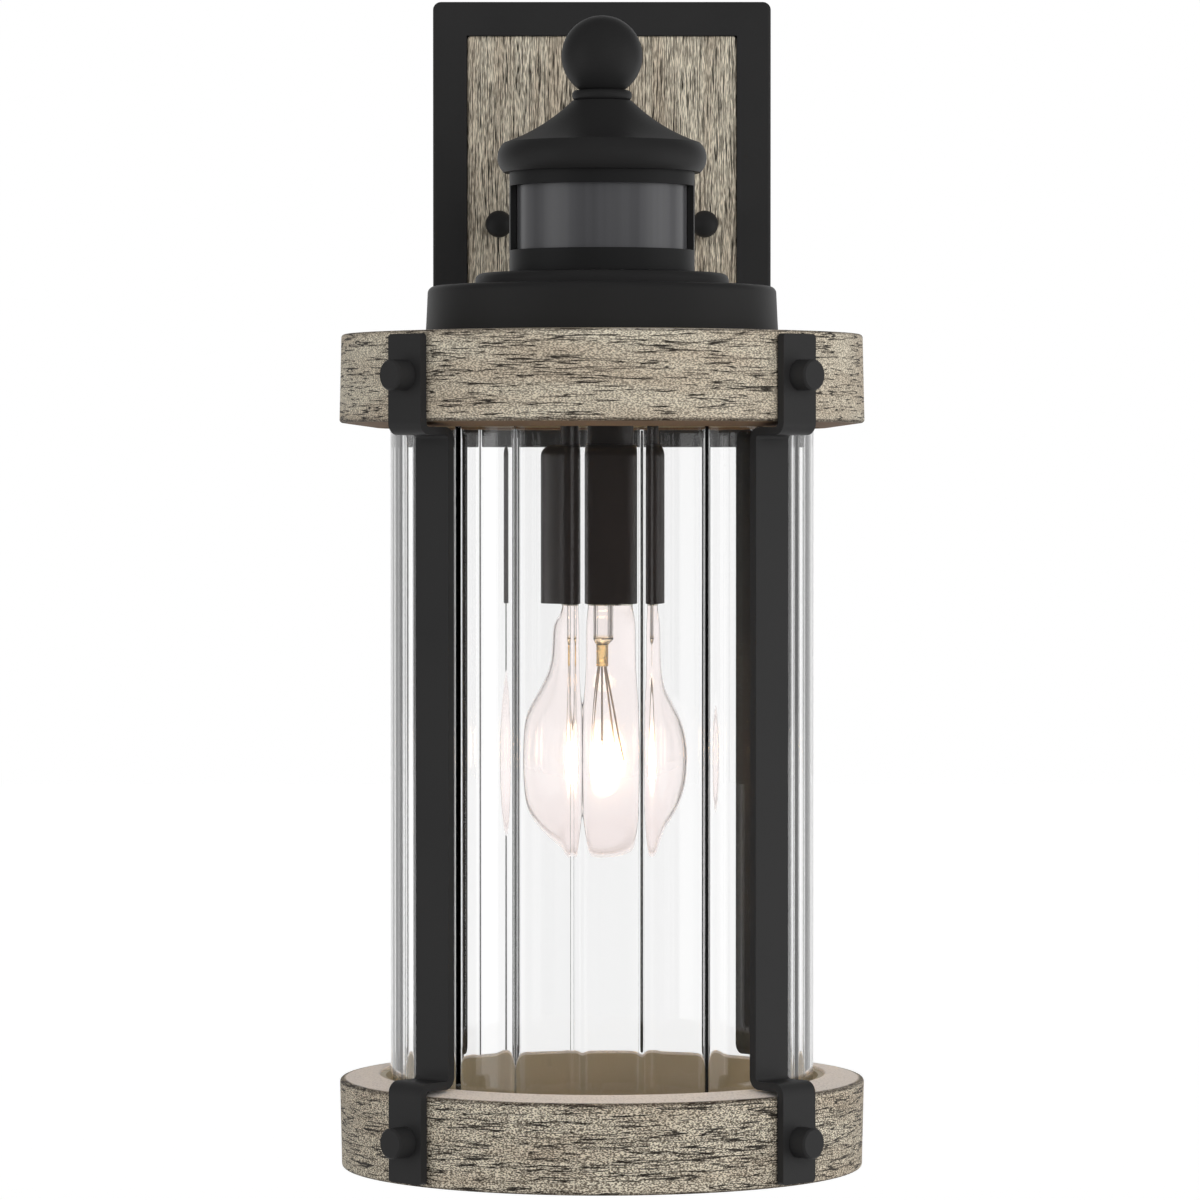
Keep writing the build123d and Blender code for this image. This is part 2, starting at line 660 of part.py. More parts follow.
def sensor_base():
    hole = TUBE_RADIUS + FIT
    outline = [(hole, DRUM_TOP), (BASE_RADIUS, DRUM_TOP), (BASE_RADIUS, BASE_TOP), (hole, BASE_TOP)]
    base = spin_corners(outline, [0, 0, BASE_EDGE, 0])
    for place in base_screw_places():
        base -= place * disc(SMALL_SCREW_RADIUS + FIT, DRUM_TOP, DRUM_TOP + BASE_HEIGHT / 2)
    return AXIS * base


def base_screws():
    low = DRUM_TOP - DRUM_WALL
    head = disc(SMALL_HEAD_RADIUS, low - SMALL_HEAD_HEIGHT, low)
    screw = head + disc(SMALL_SCREW_RADIUS, low, DRUM_TOP + BASE_HEIGHT / 2)
    return merged(AXIS * place * screw for place in base_screw_places())


def swivel_washer():
    return AXIS * ring(SWIVEL_WASHER_RADIUS, TUBE_RADIUS + FIT, BASE_TOP, HEAD_UNDER)


def spring_washer():
    return AXIS * ring(SPRING_WASHER_RADIUS, TUBE_RADIUS + FIT, HEAD_FLOOR_TOP, HEAD_NUT_LOW)


def threaded_tube():
    tube = ring(TUBE_RADIUS, TUBE_BORE, TUBE_LOW, TUBE_TOP)
    half = TUBE_SLOT_WIDTH / 2
    low = SOCKET_LEAD_Z - LEAD_RADIUS - FIT
    high = SENSOR_LEAD_Z + LEAD_RADIUS + FIT
    return AXIS * (tube - block((-half, 0, low), (half, 2 * TUBE_RADIUS, high)))


def tube_nuts():
    def nut(low):
        high = low + TUBE_NUT_HEIGHT
        return AXIS * (hex_bar(TUBE_NUT_FLATS, low, high) - disc(TUBE_RADIUS + FIT, low, high))
    return merged(nut(low) for low in (TONGUE_TOP, HEAD_NUT_LOW, CUP_NUT_TOP - TUBE_NUT_HEIGHT))


# Sensor head
def wall_wedge(half_angle):
    """Pie slice that opens to the front, wider than the head."""
    far = 2 * HEAD_RADIUS
    side = far * math.sin(math.radians(half_angle))
    deep = far * math.cos(math.radians(half_angle))
    return Polygon((0, 0), (-side, -deep), (-far, -far), (far, -far), (side, -deep), align=None)


def pad_block(face, width, height):
    low = (-width / 2, 0, DIAL_Z - height / 2)
    return block(low, (width / 2, face, DIAL_Z + height / 2))


def dial_places():
    return (-DIAL_SPACING, 0, DIAL_SPACING)


def sensor_body():
    bore = HEAD_RADIUS - HEAD_WALL
    body = disc(HEAD_RADIUS, HEAD_UNDER, HEAD_TOP) + pad_block(PAD_REACH, PAD_WIDTH, PAD_HEIGHT)
    body -= disc(bore, HEAD_FLOOR_TOP, HEAD_TOP)
    body -= pad_block(PAD_INSIDE, PAD_WIDTH - 2 * PAD_WALL, PAD_HEIGHT - 2 * PAD_WALL)
    body -= extrude(Pos(0, 0, WINDOW_LOW) * wall_wedge(WINDOW_HALF_ANGLE), WINDOW_HEIGHT)
    inside = disc(bore + HEAD_WALL / 2, HEAD_FLOOR_TOP, HEAD_TOP)
    half = BRIDGE_WIDTH / 2
    body += inside & block((-HEAD_RADIUS, -half, BRIDGE_LOW), (HEAD_RADIUS, half, HEAD_TOP))
    front = -RAIL_SIDE - FIT
    back = BOARD_THICKNESS + FIT + RAIL_SIDE
    rails = inside & block((-HEAD_RADIUS, front, HEAD_FLOOR_TOP), (HEAD_RADIUS, back, BRIDGE_LOW))
    inner = bore - RAIL_DEPTH
    rails -= block((-inner, front, HEAD_FLOOR_TOP), (inner, back, BRIDGE_LOW))
    slot = BOARD_RADIUS + FIT
    rails -= block((-slot, -FIT, BOARD_LOW), (slot, BOARD_THICKNESS + FIT, BRIDGE_LOW))
    body += rails
    body -= disc(TUBE_RADIUS + RUNNING, HEAD_UNDER, HEAD_FLOOR_TOP)
    body -= disc(ROD_RADIUS + FIT, BRIDGE_LOW, HEAD_TOP)
    for x in dial_places():
        body -= rod_y(DIAL_SHAFT + RUNNING, x, DIAL_Z, PAD_REACH, PAD_INSIDE)
    return AXIS * body


def sensor_lens():
    section = Circle(LENS_RADIUS) - Circle(LENS_RADIUS - LENS_THICKNESS)
    section &= wall_wedge(LENS_HALF_ANGLE)
    low = HEAD_FLOOR_TOP + FIT
    return AXIS * extrude(Pos(0, 0, low) * section, BRIDGE_LOW - FIT - low)


def sensor_board():
    low = (-BOARD_RADIUS, 0, BOARD_LOW)
    return AXIS * block(low, (BOARD_RADIUS, BOARD_THICKNESS, BOARD_TOP))


def pir_sensor():
    return AXIS * rod_y(PIR_RADIUS, 0, WINDOW_MIDDLE, 0, -PIR_DEPTH)


def photocell():
    return AXIS * rod_y(CELL_RADIUS, CELL_OFFSET, WINDOW_MIDDLE, 0, -CELL_DEPTH)


def relay():
    width, depth, height = RELAY_SIZE
    middle = Pos(0, BOARD_THICKNESS + depth / 2, BOARD_LOW + height / 2)
    return AXIS * middle * Box(width, depth, height)


def dial_pots():
    width, depth, height = POT_SIZE
    pot = Pos(0, PAD_INSIDE - depth / 2, DIAL_Z) * Box(width, depth, height)
    pot -= rod_y(DIAL_SHAFT + RUNNING, 0, DIAL_Z, PAD_INSIDE, PAD_INSIDE - POT_SOCKET)
    return merged(AXIS * Pos(x, 0, 0) * pot for x in dial_places())


def dial(x):
    seat = PAD_REACH + FREE
    face = seat + DIAL_THICKNESS
    knob = rod_y(DIAL_RADIUS, 0, DIAL_Z, face, seat)
    slot = DIAL_SLOT / 2
    knob -= block((-slot, face - DIAL_SLOT, DIAL_Z), (slot, face, DIAL_Z + DIAL_RADIUS))
    knob += rod_y(DIAL_SHAFT, 0, DIAL_Z, seat, PAD_INSIDE - POT_SOCKET + FREE)
    return AXIS * Pos(x, 0, 0) * knob


# Roof and finial
def roof_cap():
    rim = HEAD_TOP + ROOF_BRIM
    tip = HEAD_TOP + ROOF_HEIGHT
    hole = ROD_RADIUS + FIT
    run = ROOF_REST - ROOF_TIP
    rise = tip - rim
    slope = math.hypot(run, rise)
    sag = ((ROOF_REST + ROOF_TIP) / 2 - ROOF_SAG * rise / slope, (rim + tip) / 2 - ROOF_SAG * run / slope)
    cap = spin(
        Polyline((hole, tip), (hole, HEAD_TOP), (ROOF_REST, HEAD_TOP)),
        ThreePointArc((ROOF_REST, HEAD_TOP), (ROOF_RADIUS, HEAD_TOP + ROOF_BRIM / 2), (ROOF_REST, rim)),
        ThreePointArc((ROOF_REST, rim), sag, (ROOF_TIP, tip)),
        Line((ROOF_TIP, tip), (hole, tip)),
    )
    inner = ROOF_REST - 2 * ROOF_WALL
    ceiling = tip - 2 * ROOF_WALL
    hollow = [(0, HEAD_TOP), (inner, HEAD_TOP), (inner, rim - 2 * ROOF_WALL)]
    hollow += [(ROOF_TIP - ROOF_WALL, ceiling), (0, ceiling)]
    return AXIS * (cap - spin(Polyline(*hollow, close=True)))


def finial_bead():
    low = HEAD_TOP + ROOF_HEIGHT
    hole = ROD_RADIUS + FIT
    outline = [(hole, low), (BEAD_RADIUS, low), (BEAD_RADIUS, low + BEAD_HEIGHT), (hole, low + BEAD_HEIGHT)]
    return AXIS * spin_corners(outline, [0, BEAD_EDGE, BEAD_EDGE, 0])


def ball_seat():
    return HEAD_TOP + ROOF_HEIGHT + BEAD_HEIGHT


def finial_ball():
    seat = ball_seat()
    ball = Pos(0, 0, seat - BALL_SUNK + BALL_RADIUS) * Sphere(BALL_RADIUS)
    ball -= disc(2 * BALL_RADIUS, seat - BALL_RADIUS, seat)
    ball -= disc(ROD_RADIUS + FIT, seat, seat + ROD_IN_BALL)
    return AXIS * ball


def finial_rod():
    return AXIS * disc(ROD_RADIUS, BRIDGE_LOW, ball_seat() + ROD_IN_BALL - FREE)


# Socket
def socket_neck():
    return AXIS * ring(NECK_RADIUS, TUBE_RADIUS + FIT, CUP_TOP, PAN_UNDER)


def cup_form(inset):
    top = CUP_TOP - inset
    radius = CUP_RADIUS - inset
    outline = [(0, CUP_RIM), (radius, CUP_RIM), (radius, top), (0, top)]
    return spin_corners(outline, [0, 0, CUP_SHOULDER - inset, 0])


def socket_cup():
    cup = cup_form(0) - cup_form(CUP_WALL)
    return AXIS * (cup - disc(TUBE_RADIUS + FIT, CUP_NUT_TOP, CUP_TOP))


def holder_bore():
    """Radius of the lampholder's bore and the height of its end."""
    return SHELL_BORE + SHELL_WALL + FIT, BULB_TIP + FREE + CONTACT_THICKNESS


def lampholder():
    radius, end = holder_bore()
    return AXIS * (disc(HOLDER_RADIUS, HOLDER_LOW, HOLDER_TOP) - disc(radius, HOLDER_LOW, end))


def screw_shell():
    low = HOLDER_LOW + SHELL_RECESS
    return AXIS * ring(SHELL_BORE + SHELL_WALL, SHELL_BORE, low, holder_bore()[1])


def centre_contact():
    end = holder_bore()[1]
    return AXIS * disc(CONTACT_RADIUS, end - CONTACT_THICKNESS, end)


# Bulb
def bulb_curves(inset):
    """Half outline of the pear shape from the neck's end to the crown, drawn in by the inset."""
    neck = BULB_NECK - inset
    radius = BULB_RADIUS - inset
    rise = BULB_WIDEST - inset
    drop = CAP_LOW - FILAMENT_Z
    knots = [(neck + out * (radius - neck), CAP_LOW - down * drop) for down, out in PEAR_KNOTS]
    eighth = math.sqrt(0.5)
    pear = Spline(
        (neck, CAP_LOW),
        *knots,
        (radius, FILAMENT_Z),
        (eighth * radius, FILAMENT_Z - eighth * rise),
        (0, BULB_CROWN + inset),
        tangents=[(0, -1), (-1, 0)],
    )
    return Line((neck, CAP_LOW + CAP_LAP), (neck, CAP_LOW)), pear


def bulb_envelope():
    top = CAP_LOW + CAP_LAP
    rim = Line((BULB_NECK - BULB_WALL, top), (BULB_NECK, top))
    pole = Line((0, BULB_CROWN), (0, BULB_CROWN + BULB_WALL))
    return AXIS * spin(*bulb_curves(0), *bulb_curves(BULB_WALL), rim, pole)


def bulb_cap():
    outline = [(0, CAP_LOW), (CAP_RADIUS, CAP_LOW), (CAP_RADIUS, CAP_TOP), (0, CAP_TOP)]
    shell = spin_corners(outline, [0, 0, CAP_RADIUS - INSULATOR_RADIUS, 0])
    inside = CAP_RADIUS - CAP_WALL
    shell -= disc(inside, CAP_LOW, CAP_LOW + CAP_LAP)
    return AXIS * shell


def bulb_insulator():
    return AXIS * disc(INSULATOR_RADIUS, CAP_TOP, CAP_TOP + INSULATOR_HEIGHT)


def bulb_contact():
    return AXIS * disc(TIP_RADIUS, CAP_TOP + INSULATOR_HEIGHT, BULB_TIP)


def bulb_stem():
    top = CAP_LOW + CAP_LAP
    foot = top - STEM_LENGTH
    flare = BULB_NECK - BULB_WALL - FIT
    outline = [
        (0, top),
        (flare, top),
        (flare, top - BULB_WALL),
        (STEM_RADIUS, CAP_LOW),
        (STEM_RADIUS, foot),
        (PRESS_RADIUS, foot - STEM_RADIUS / 2),
        (PRESS_RADIUS, PRESS_LOW),
        (0, PRESS_LOW),
    ]
    return AXIS * spin(Polyline(*outline, close=True))


def filament_point(angle):
    """Point of the filament's ring, counted from the front."""
    turn = math.radians(angle - 90)
    return FILAMENT_RADIUS * math.cos(turn), FILAMENT_RADIUS * math.sin(turn), FILAMENT_Z


def bulb_wires():
    rods = []
    for angle in (-FILAMENT_HALF_ANGLE, *SUPPORT_ANGLES, FILAMENT_HALF_ANGLE):
        end = Vector(*filament_point(angle)) + Vector(0, 0, FILAMENT_WIRE + FIT)
        turn = math.radians(angle - 90)
        start = Vector(WIRE_SPREAD * math.cos(turn), WIRE_SPREAD * math.sin(turn), PRESS_LOW - FIT)
        along = end - start
        rods.append(extrude(Plane(origin=start, z_dir=along) * Circle(WIRE_RADIUS), along.length))
    return merged(AXIS * rod for rod in rods)


def bulb_filament():
    half = FILAMENT_HALF_ANGLE
    path = ThreePointArc(filament_point(-half), filament_point(0), filament_point(half))
    section = Plane(origin=path @ 0, z_dir=path % 0) * Circle(FILAMENT_WIRE)
    return AXIS * sweep(section, path)


PIECES = {
    "wall_gasket": wall_gasket(),
    "mounting_bracket": mounting_bracket(),
    "bracket_studs": bracket_studs(),
    "lock_nuts": lock_nuts(),
    "cap_nuts": cap_nuts(),
    "ground_screw": ground_screw(),
    "wall_plate": wall_plate(),
    "plate_panel": plate_panel(),
    "arm": arm(),
    "arm_screws": arm_screws(),
    "pan_screws": pan_screws(),
    "wire_bushing": wire_bushing(),
    "supply_leads": supply_leads(),
    "wire_connectors": wire_connectors(),
    "socket_leads": socket_leads(),
    "sensor_leads": sensor_leads(),
    "top_ring": top_ring(),
    "lower_ring": mirror_cage(top_ring()),
    "top_pan": top_pan(),
    "lower_cup": lower_cup(),
    "glass_shade": glass_shade(),
    "glass_seals": glass_seals(),
    "strap_bolts": strap_bolts(),
    "drum": drum(),
    "sensor_base": sensor_base(),
    "base_screws": base_screws(),
    "swivel_washer": swivel_washer(),
    "spring_washer": spring_washer(),
    "threaded_tube": threaded_tube(),
    "tube_nuts": tube_nuts(),
    "sensor_body": sensor_body(),
    "sensor_lens": sensor_lens(),
    "sensor_board": sensor_board(),
    "pir_sensor": pir_sensor(),
    "photocell": photocell(),
    "relay": relay(),
    "dial_pots": dial_pots(),
    "roof_cap": roof_cap(),
    "finial_bead": finial_bead(),
    "finial_ball": finial_ball(),
    "finial_rod": finial_rod(),
    "socket_neck": socket_neck(),
    "socket_cup": socket_cup(),
    "lampholder": lampholder(),
    "screw_shell": screw_shell(),
    "centre_contact": centre_contact(),
    "bulb_envelope": bulb_envelope(),
    "bulb_cap": bulb_cap(),
    "bulb_insulator": bulb_insulator(),
    "bulb_contact": bulb_contact(),
    "bulb_stem": bulb_stem(),
    "bulb_wires": bulb_wires(),
    "bulb_filament": bulb_filament(),
}
for corner, corner_angle in zip(STRAP_CORNERS, strap_angles()):
    PIECES[f"strap_{corner}"] = strap(corner_angle)
for dial_name, dial_x in zip(("time_dial", "light_dial", "range_dial"), dial_places()):
    PIECES[dial_name] = dial(dial_x)

os.makedirs("parts", exist_ok=True)
for name, piece in PIECES.items():
    export_step(piece, f"parts/{name}.step")
    print(name, len(piece.solids()), round(piece.volume, 1))
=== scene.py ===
# %% [markdown]
# An outdoor wall lantern, dressed in Blender.
# The lantern itself comes from CAD as separate solids, in metres, with +Z up, the wall at y = 0 and the lantern
# standing off it towards -Y. This lesson adds what CAD can't say: glass, glow, paint, wood grain and studio light.

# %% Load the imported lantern
import json
import math

import bmesh
import bpy
import numpy as np
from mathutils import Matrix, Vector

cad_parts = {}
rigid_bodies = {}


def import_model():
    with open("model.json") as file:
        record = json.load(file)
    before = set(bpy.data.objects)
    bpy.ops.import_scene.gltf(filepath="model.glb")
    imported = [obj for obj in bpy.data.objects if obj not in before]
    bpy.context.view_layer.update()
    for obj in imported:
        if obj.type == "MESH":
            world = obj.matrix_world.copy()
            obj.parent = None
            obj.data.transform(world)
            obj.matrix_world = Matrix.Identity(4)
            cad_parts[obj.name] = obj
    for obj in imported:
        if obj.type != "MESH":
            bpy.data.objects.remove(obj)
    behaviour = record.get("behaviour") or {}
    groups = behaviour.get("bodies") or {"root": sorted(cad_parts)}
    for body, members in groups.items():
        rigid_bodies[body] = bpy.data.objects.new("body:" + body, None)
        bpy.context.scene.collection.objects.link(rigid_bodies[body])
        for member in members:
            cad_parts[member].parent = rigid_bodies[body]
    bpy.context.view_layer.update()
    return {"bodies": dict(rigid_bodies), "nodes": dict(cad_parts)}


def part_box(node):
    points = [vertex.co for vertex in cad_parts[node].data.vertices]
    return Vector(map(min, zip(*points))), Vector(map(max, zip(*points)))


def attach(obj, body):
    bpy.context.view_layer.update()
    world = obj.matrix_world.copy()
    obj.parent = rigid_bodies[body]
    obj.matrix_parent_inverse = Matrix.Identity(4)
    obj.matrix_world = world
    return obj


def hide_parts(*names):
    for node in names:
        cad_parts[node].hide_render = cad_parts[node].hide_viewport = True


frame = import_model()
scene = bpy.context.scene
nodes = frame["nodes"]
AXIS_Y = -0.136

# %% [markdown]
# The camera stands where the photographer's did. The rings are circles, so the ellipses that they draw in the
# photograph give its distance and height: about two metres off, level with the top of the glass, with a long lens.
# A shifted lens would give the same frame, but a small tilt is simpler and carries over to other views.

# %% Camera
PHOTO_SIDE = 1200.0
FOCAL_PIXELS = 5814.0
HORIZON_ROW = 485.0
EYE = (-0.0007, AXIS_Y - 2.040, -0.0964)
SENSOR = 36.0

camera_data = bpy.data.cameras.new("photograph_camera")
camera_data.sensor_width = SENSOR
camera_data.lens = FOCAL_PIXELS / PHOTO_SIDE * SENSOR
camera = bpy.data.objects.new("photograph_camera", camera_data)
camera.location = EYE
tilt = math.atan((PHOTO_SIDE / 2 - HORIZON_ROW) / FOCAL_PIXELS)
camera.rotation_euler = (math.pi / 2 - tilt, 0.0, 0.0)
scene.collection.objects.link(camera)
scene.camera = camera
scene.view_settings.view_transform = "Standard"
print("lens", round(camera_data.lens, 1), "mm, tilted down", round(math.degrees(tilt), 2), "degrees")

# %% [markdown]
# Finishes are node trees, and long node trees are hard to read as code. Two small classes let a finish be written
# as sums: Flow stands for one socket and knows plus, minus, times and power, and Recipe adds any other node from
# its type, its settings and its sockets.

# %% Shader arithmetic
class Flow:
    """One output socket. Each operator adds a Math node to the same tree."""

    def __init__(self, recipe, output):
        self.recipe = recipe
        self.output = output

    def __add__(self, other):
        return self.recipe.math("ADD", self, other)

    def __sub__(self, other):
        return self.recipe.math("SUBTRACT", self, other)

    def __mul__(self, other):
        return self.recipe.math("MULTIPLY", self, other)

    def __pow__(self, other):
        return self.recipe.math("POWER", self, other)

    def __rsub__(self, other):
        return self.recipe.math("SUBTRACT", other, self)

    __radd__ = __add__
    __rmul__ = __mul__


class Recipe:
    """The node tree of one finish."""

    def __init__(self, tree):
        self.tree = tree
        tree.nodes.clear()

    def node(self, kind, settings=None, sockets=None, output=0):
        """Adds a node. Its settings come first, then values or links for its sockets."""
        made = self.tree.nodes.new("ShaderNode" + kind)
        for name, value in (settings or {}).items():
            setattr(made, name, value)
        for key, value in (sockets or {}).items():
            socket = made.inputs[key]
            if isinstance(value, Flow):
                self.tree.links.new(value.output, socket)
            else:
                wants_four = socket.type == "RGBA" and len(value) == 3
                socket.default_value = (*value, 1.0) if wants_four else value
        return Flow(self, made.outputs[output]) if len(made.outputs) else None

    def math(self, operation, *values):
        return self.node("Math", {"operation": operation}, dict(enumerate(values)))

    def place(self):
        return self.node("TexCoord", output="Object")

    def axes(self):
        """x, y and z of a point of the piece, in metres."""
        place = self.place()
        return [self.node("SeparateXYZ", None, {0: place}, axis) for axis in "XYZ"]

    def noise(self, scale, detail=2.0, roughness=0.5, bend=0.0):
        """Noise from 0 to 1. scale is repeats to a metre, one number or one for each axis."""
        scale = (scale,) * 3 if isinstance(scale, (int, float)) else scale
        place = self.node("Mapping", None, {"Vector": self.place(), "Scale": scale})
        sockets = {"Vector": place, "Scale": 1.0, "Detail": detail, "Roughness": roughness, "Distortion": bend}
        return self.node("TexNoise", None, sockets)

    def step(self, value, low, high):
        """Smooth step: 0 below low, 1 above high."""
        return self.node("MapRange", {"interpolation_type": "SMOOTHSTEP"}, {0: value, 1: low, 2: high})

    def mix(self, share, first, second):
        """Colour between first and second."""
        return self.node("Mix", {"data_type": "RGBA"}, {0: share, 6: first, 7: second}, 2)

    def bump(self, height, depth, strength=1.0):
        """Normal of a surface raised by height times depth, in metres."""
        return self.node("Bump", None, {"Height": height, "Distance": depth, "Strength": strength})

    def surface(self, **sockets):
        """Principled shader. Underscores in the socket's names stand for spaces."""
        named = {key.replace("_", " "): value for key, value in sockets.items()}
        return self.node("BsdfPrincipled", None, named)


def finish(name, shader):
    """Material whose surface is what shader(recipe) returns."""
    material = bpy.data.materials.new(name)
    material.use_nodes = True
    recipe = Recipe(material.node_tree)
    recipe.node("OutputMaterial", None, {"Surface": shader(recipe)})
    return material


def srgb(red, green, blue):
    """Linear colour of an sRGB one, counted from 0 to 255."""
    channels = np.array([red, green, blue]) / 255
    linear = np.where(channels <= 0.04045, channels / 12.92, ((channels + 0.055) / 1.055) ** 2.4)
    return tuple(float(c) for c in linear)


print("shader classes ready")

# %% [markdown]
# Every new shape is a sheet of points worked out with numpy: rows run along one parameter and columns along the
# other. One helper turns such a sheet into a mesh, joins its ends where the shape closes on itself, and makes one
# point of a row that shrinks to nothing, so that a dome has a true pole.

# %% Sheets of points
SAME_POINT = 1e-7


def sheet_piece(name, points, wrap_rows=False, wrap_columns=True):
    """Mesh of a grid of points, an array of rows x columns x 3, with smooth faces between neighbours.

    Face (i, j) joins rows i, i + 1 and columns j, j + 1. A wrapped direction also joins its last line to its
    first. Points that fall together become one, and faces are turned outwards.
    """
    rows, columns = points.shape[:2]
    i = np.arange(rows if wrap_rows else rows - 1)[:, None]
    j = np.arange(columns if wrap_columns else columns - 1)[None, :]
    up, right = (i + 1) % rows, (j + 1) % columns
    corners = (i * columns + j, i * columns + right, up * columns + right, up * columns + j)
    faces = np.stack(corners, axis=-1).reshape(-1, 4)
    mesh = bpy.data.meshes.new(name)
    mesh.from_pydata(points.reshape(-1, 3).tolist(), [], faces.tolist())
    shell = bmesh.new()
    shell.from_mesh(mesh)
    bmesh.ops.remove_doubles(shell, verts=shell.verts, dist=SAME_POINT)
    bmesh.ops.recalc_face_normals(shell, faces=shell.faces)
    shell.to_mesh(mesh)
    shell.free()
    mesh.polygons.foreach_set("use_smooth", np.ones(len(mesh.polygons), bool))
    mesh.update()
    piece = bpy.data.objects.new(name, mesh)
    scene.collection.objects.link(piece)
    return piece


def spun(radii, heights, angles):
    """Points of a profile carried round the lantern's axis: radii may change with the angle."""
    radii = np.broadcast_to(radii, (len(heights), len(angles)))
    x = radii * np.sin(angles)
    y = AXIS_Y - radii * np.cos(angles)
    z = np.broadcast_to(np.asarray(heights)[:, None], radii.shape)
    return np.stack([x, y, z], axis=-1)


def dress(piece, material):
    """Gives the piece one material in place of what it had."""
    piece.data.materials.clear()
    piece.data.materials.append(material)
    return piece


print("sheet helpers ready")

# %% [markdown]
# The photograph is a cut-out on white, taken between two tall soft boxes. White comes from the world, and only for
# what the camera, a mirror or clear glass sees. Plain surfaces get a lower, even light, so colours stay as written.
# Mirrors see the white paper behind the lantern, but a dim room in front, where the camera stands. That is what
# keeps black paint black.

# %% White room
ROOM_LIGHT = 0.62
OVERHEAD_LOSS = 0.50
FRONT_SHINE = 0.08
PAPER_TURN = (0.10, 0.90)
RISE_SHARE = 0.5
OVERHEAD = (0.1, 0.9)
FLOOR_Z = -1.75
FLOOR_SIDE = 60.0
FLOOR_GREY = 0.38
FLOOR_SHOWN = 0.84
PAPER_Y = (-1.5, 0.5)


def seen(recipe):
    """1 for rays that show the room itself, straight or in metal and glass, and 0 for rays that only light it."""
    path = {name: recipe.node("LightPath", output=name) for name in (
        "Is Camera Ray", "Is Glossy Ray", "Is Transmission Ray", "Diffuse Depth")}
    clear = recipe.math("MAXIMUM", path["Is Camera Ray"], path["Is Glossy Ray"])
    clear = recipe.math("MAXIMUM", clear, path["Is Transmission Ray"])
    lighting = recipe.math("MINIMUM", path["Diffuse Depth"], 1.0)
    return clear * (1 - lighting)


def unlit_front(recipe, backdrop):
    """How much dimmer a mirror sees the room than the eye does: all but the backdrop's share of it."""
    mirrored = recipe.math("MINIMUM", recipe.node("LightPath", output="Glossy Depth"), 1.0)
    return (1 - FRONT_SHINE) * mirrored * (1 - backdrop)


scene.world = bpy.data.worlds.new("white_room")
scene.world.use_nodes = True
room = Recipe(scene.world.node_tree)
direction = room.node("TexCoord", output="Generated")
away, rise = (room.node("SeparateXYZ", None, {0: direction}, axis) for axis in "YZ")
backdrop = room.step(away - RISE_SHARE * rise, *PAPER_TURN)
lit = ROOM_LIGHT * (1 - OVERHEAD_LOSS * room.step(rise, *OVERHEAD))
strength = lit + (1 - unlit_front(room, backdrop) - lit) * seen(room)
background = room.node("Background", None, {"Color": (1.0, 1.0, 1.0), "Strength": strength})
room.node("OutputWorld", None, {"Surface": background})


def pale_floor(recipe):
    """Matt grey paint that takes the shadow, plus the white that the room shows to the eye and to mirrors."""
    paint = recipe.surface(Base_Color=(FLOOR_GREY,) * 3, Roughness=0.9)
    paper = recipe.step(recipe.axes()[1], *PAPER_Y)
    shown = FLOOR_SHOWN * seen(recipe) * (1 - unlit_front(recipe, paper))
    light = recipe.node("Emission", None, {"Color": (1.0, 1.0, 1.0), "Strength": shown})
    return recipe.node("AddShader", None, {0: paint, 1: light})


side = np.linspace(-FLOOR_SIDE / 2, FLOOR_SIDE / 2, 3)
across, along = np.meshgrid(side, side)
floor_points = np.stack([across, along, np.full_like(across, FLOOR_Z)], axis=-1)
floor = sheet_piece("floor", floor_points, wrap_columns=False)
dress(floor, finish("pale_floor", pale_floor))
print("room light", ROOM_LIGHT, "floor at", FLOOR_Z)

# %% [markdown]
# Clear glass on white paper all but vanishes. A photographer stands black cards just outside the frame, behind the
# glass, and its bent rays then draw every rib and edge as a dark line. The cards light nothing and shade nothing,
# and they are only as tall as the glass needs, so that views from above look past them.

# %% Black cards
CARD_INNER, CARD_OUTER = 0.45, 0.95
CARD_Y = 1.0
CARD_LOW, CARD_HIGH = -0.55, 0.08
CARD_GREY = 0.09

card_paint = finish("black_card", lambda recipe: recipe.surface(Base_Color=(CARD_GREY,) * 3, Roughness=1.0))
for card_name, sign in (("card_left", -1), ("card_right", 1)):
    reach = sign * np.linspace(CARD_INNER, CARD_OUTER, 3)
    across, upright = np.meshgrid(reach, np.linspace(CARD_LOW, CARD_HIGH, 3))
    card_points = np.stack([across, np.full_like(across, CARD_Y), upright], axis=-1)
    card = sheet_piece(card_name, card_points, wrap_columns=False)
    card.visible_camera = card.visible_diffuse = card.visible_glossy = card.visible_shadow = False
    dress(card, card_paint)
print("cards from", CARD_INNER, "to", CARD_OUTER, "m each side")

# %% [markdown]
# The two bright upright bands on the sensor's window are mirror pictures of the soft boxes. A mirror picture at an
# angle a on a round window comes from a box at twice that angle, so the bands give where the boxes stood.

# %% Soft boxes
AIM_Z = -0.12


def soft_box(name, turn, distance, height, size, radiance):
    """Area lamp aimed at the glass, with its power set by how bright its face looks.

    turn is in degrees from the camera's side, towards +X.
    """
    lamp = bpy.data.lights.new(name, "AREA")
    lamp.shape = "RECTANGLE"
    lamp.size, lamp.size_y = size
    lamp.energy = 4 * size[0] * size[1] * radiance
    angle = math.radians(turn)
    place = np.array([distance * math.sin(angle), AXIS_Y - distance * math.cos(angle), height])
    item = bpy.data.objects.new(name, lamp)
    item.location = place
    aim = np.array([0.0, AXIS_Y, AIM_Z]) - place
    flat = math.hypot(aim[0], aim[1])
    item.rotation_euler = (math.atan2(flat, -aim[2]), 0.0, math.atan2(-aim[0], aim[1]))
    scene.collection.objects.link(item)
    return item


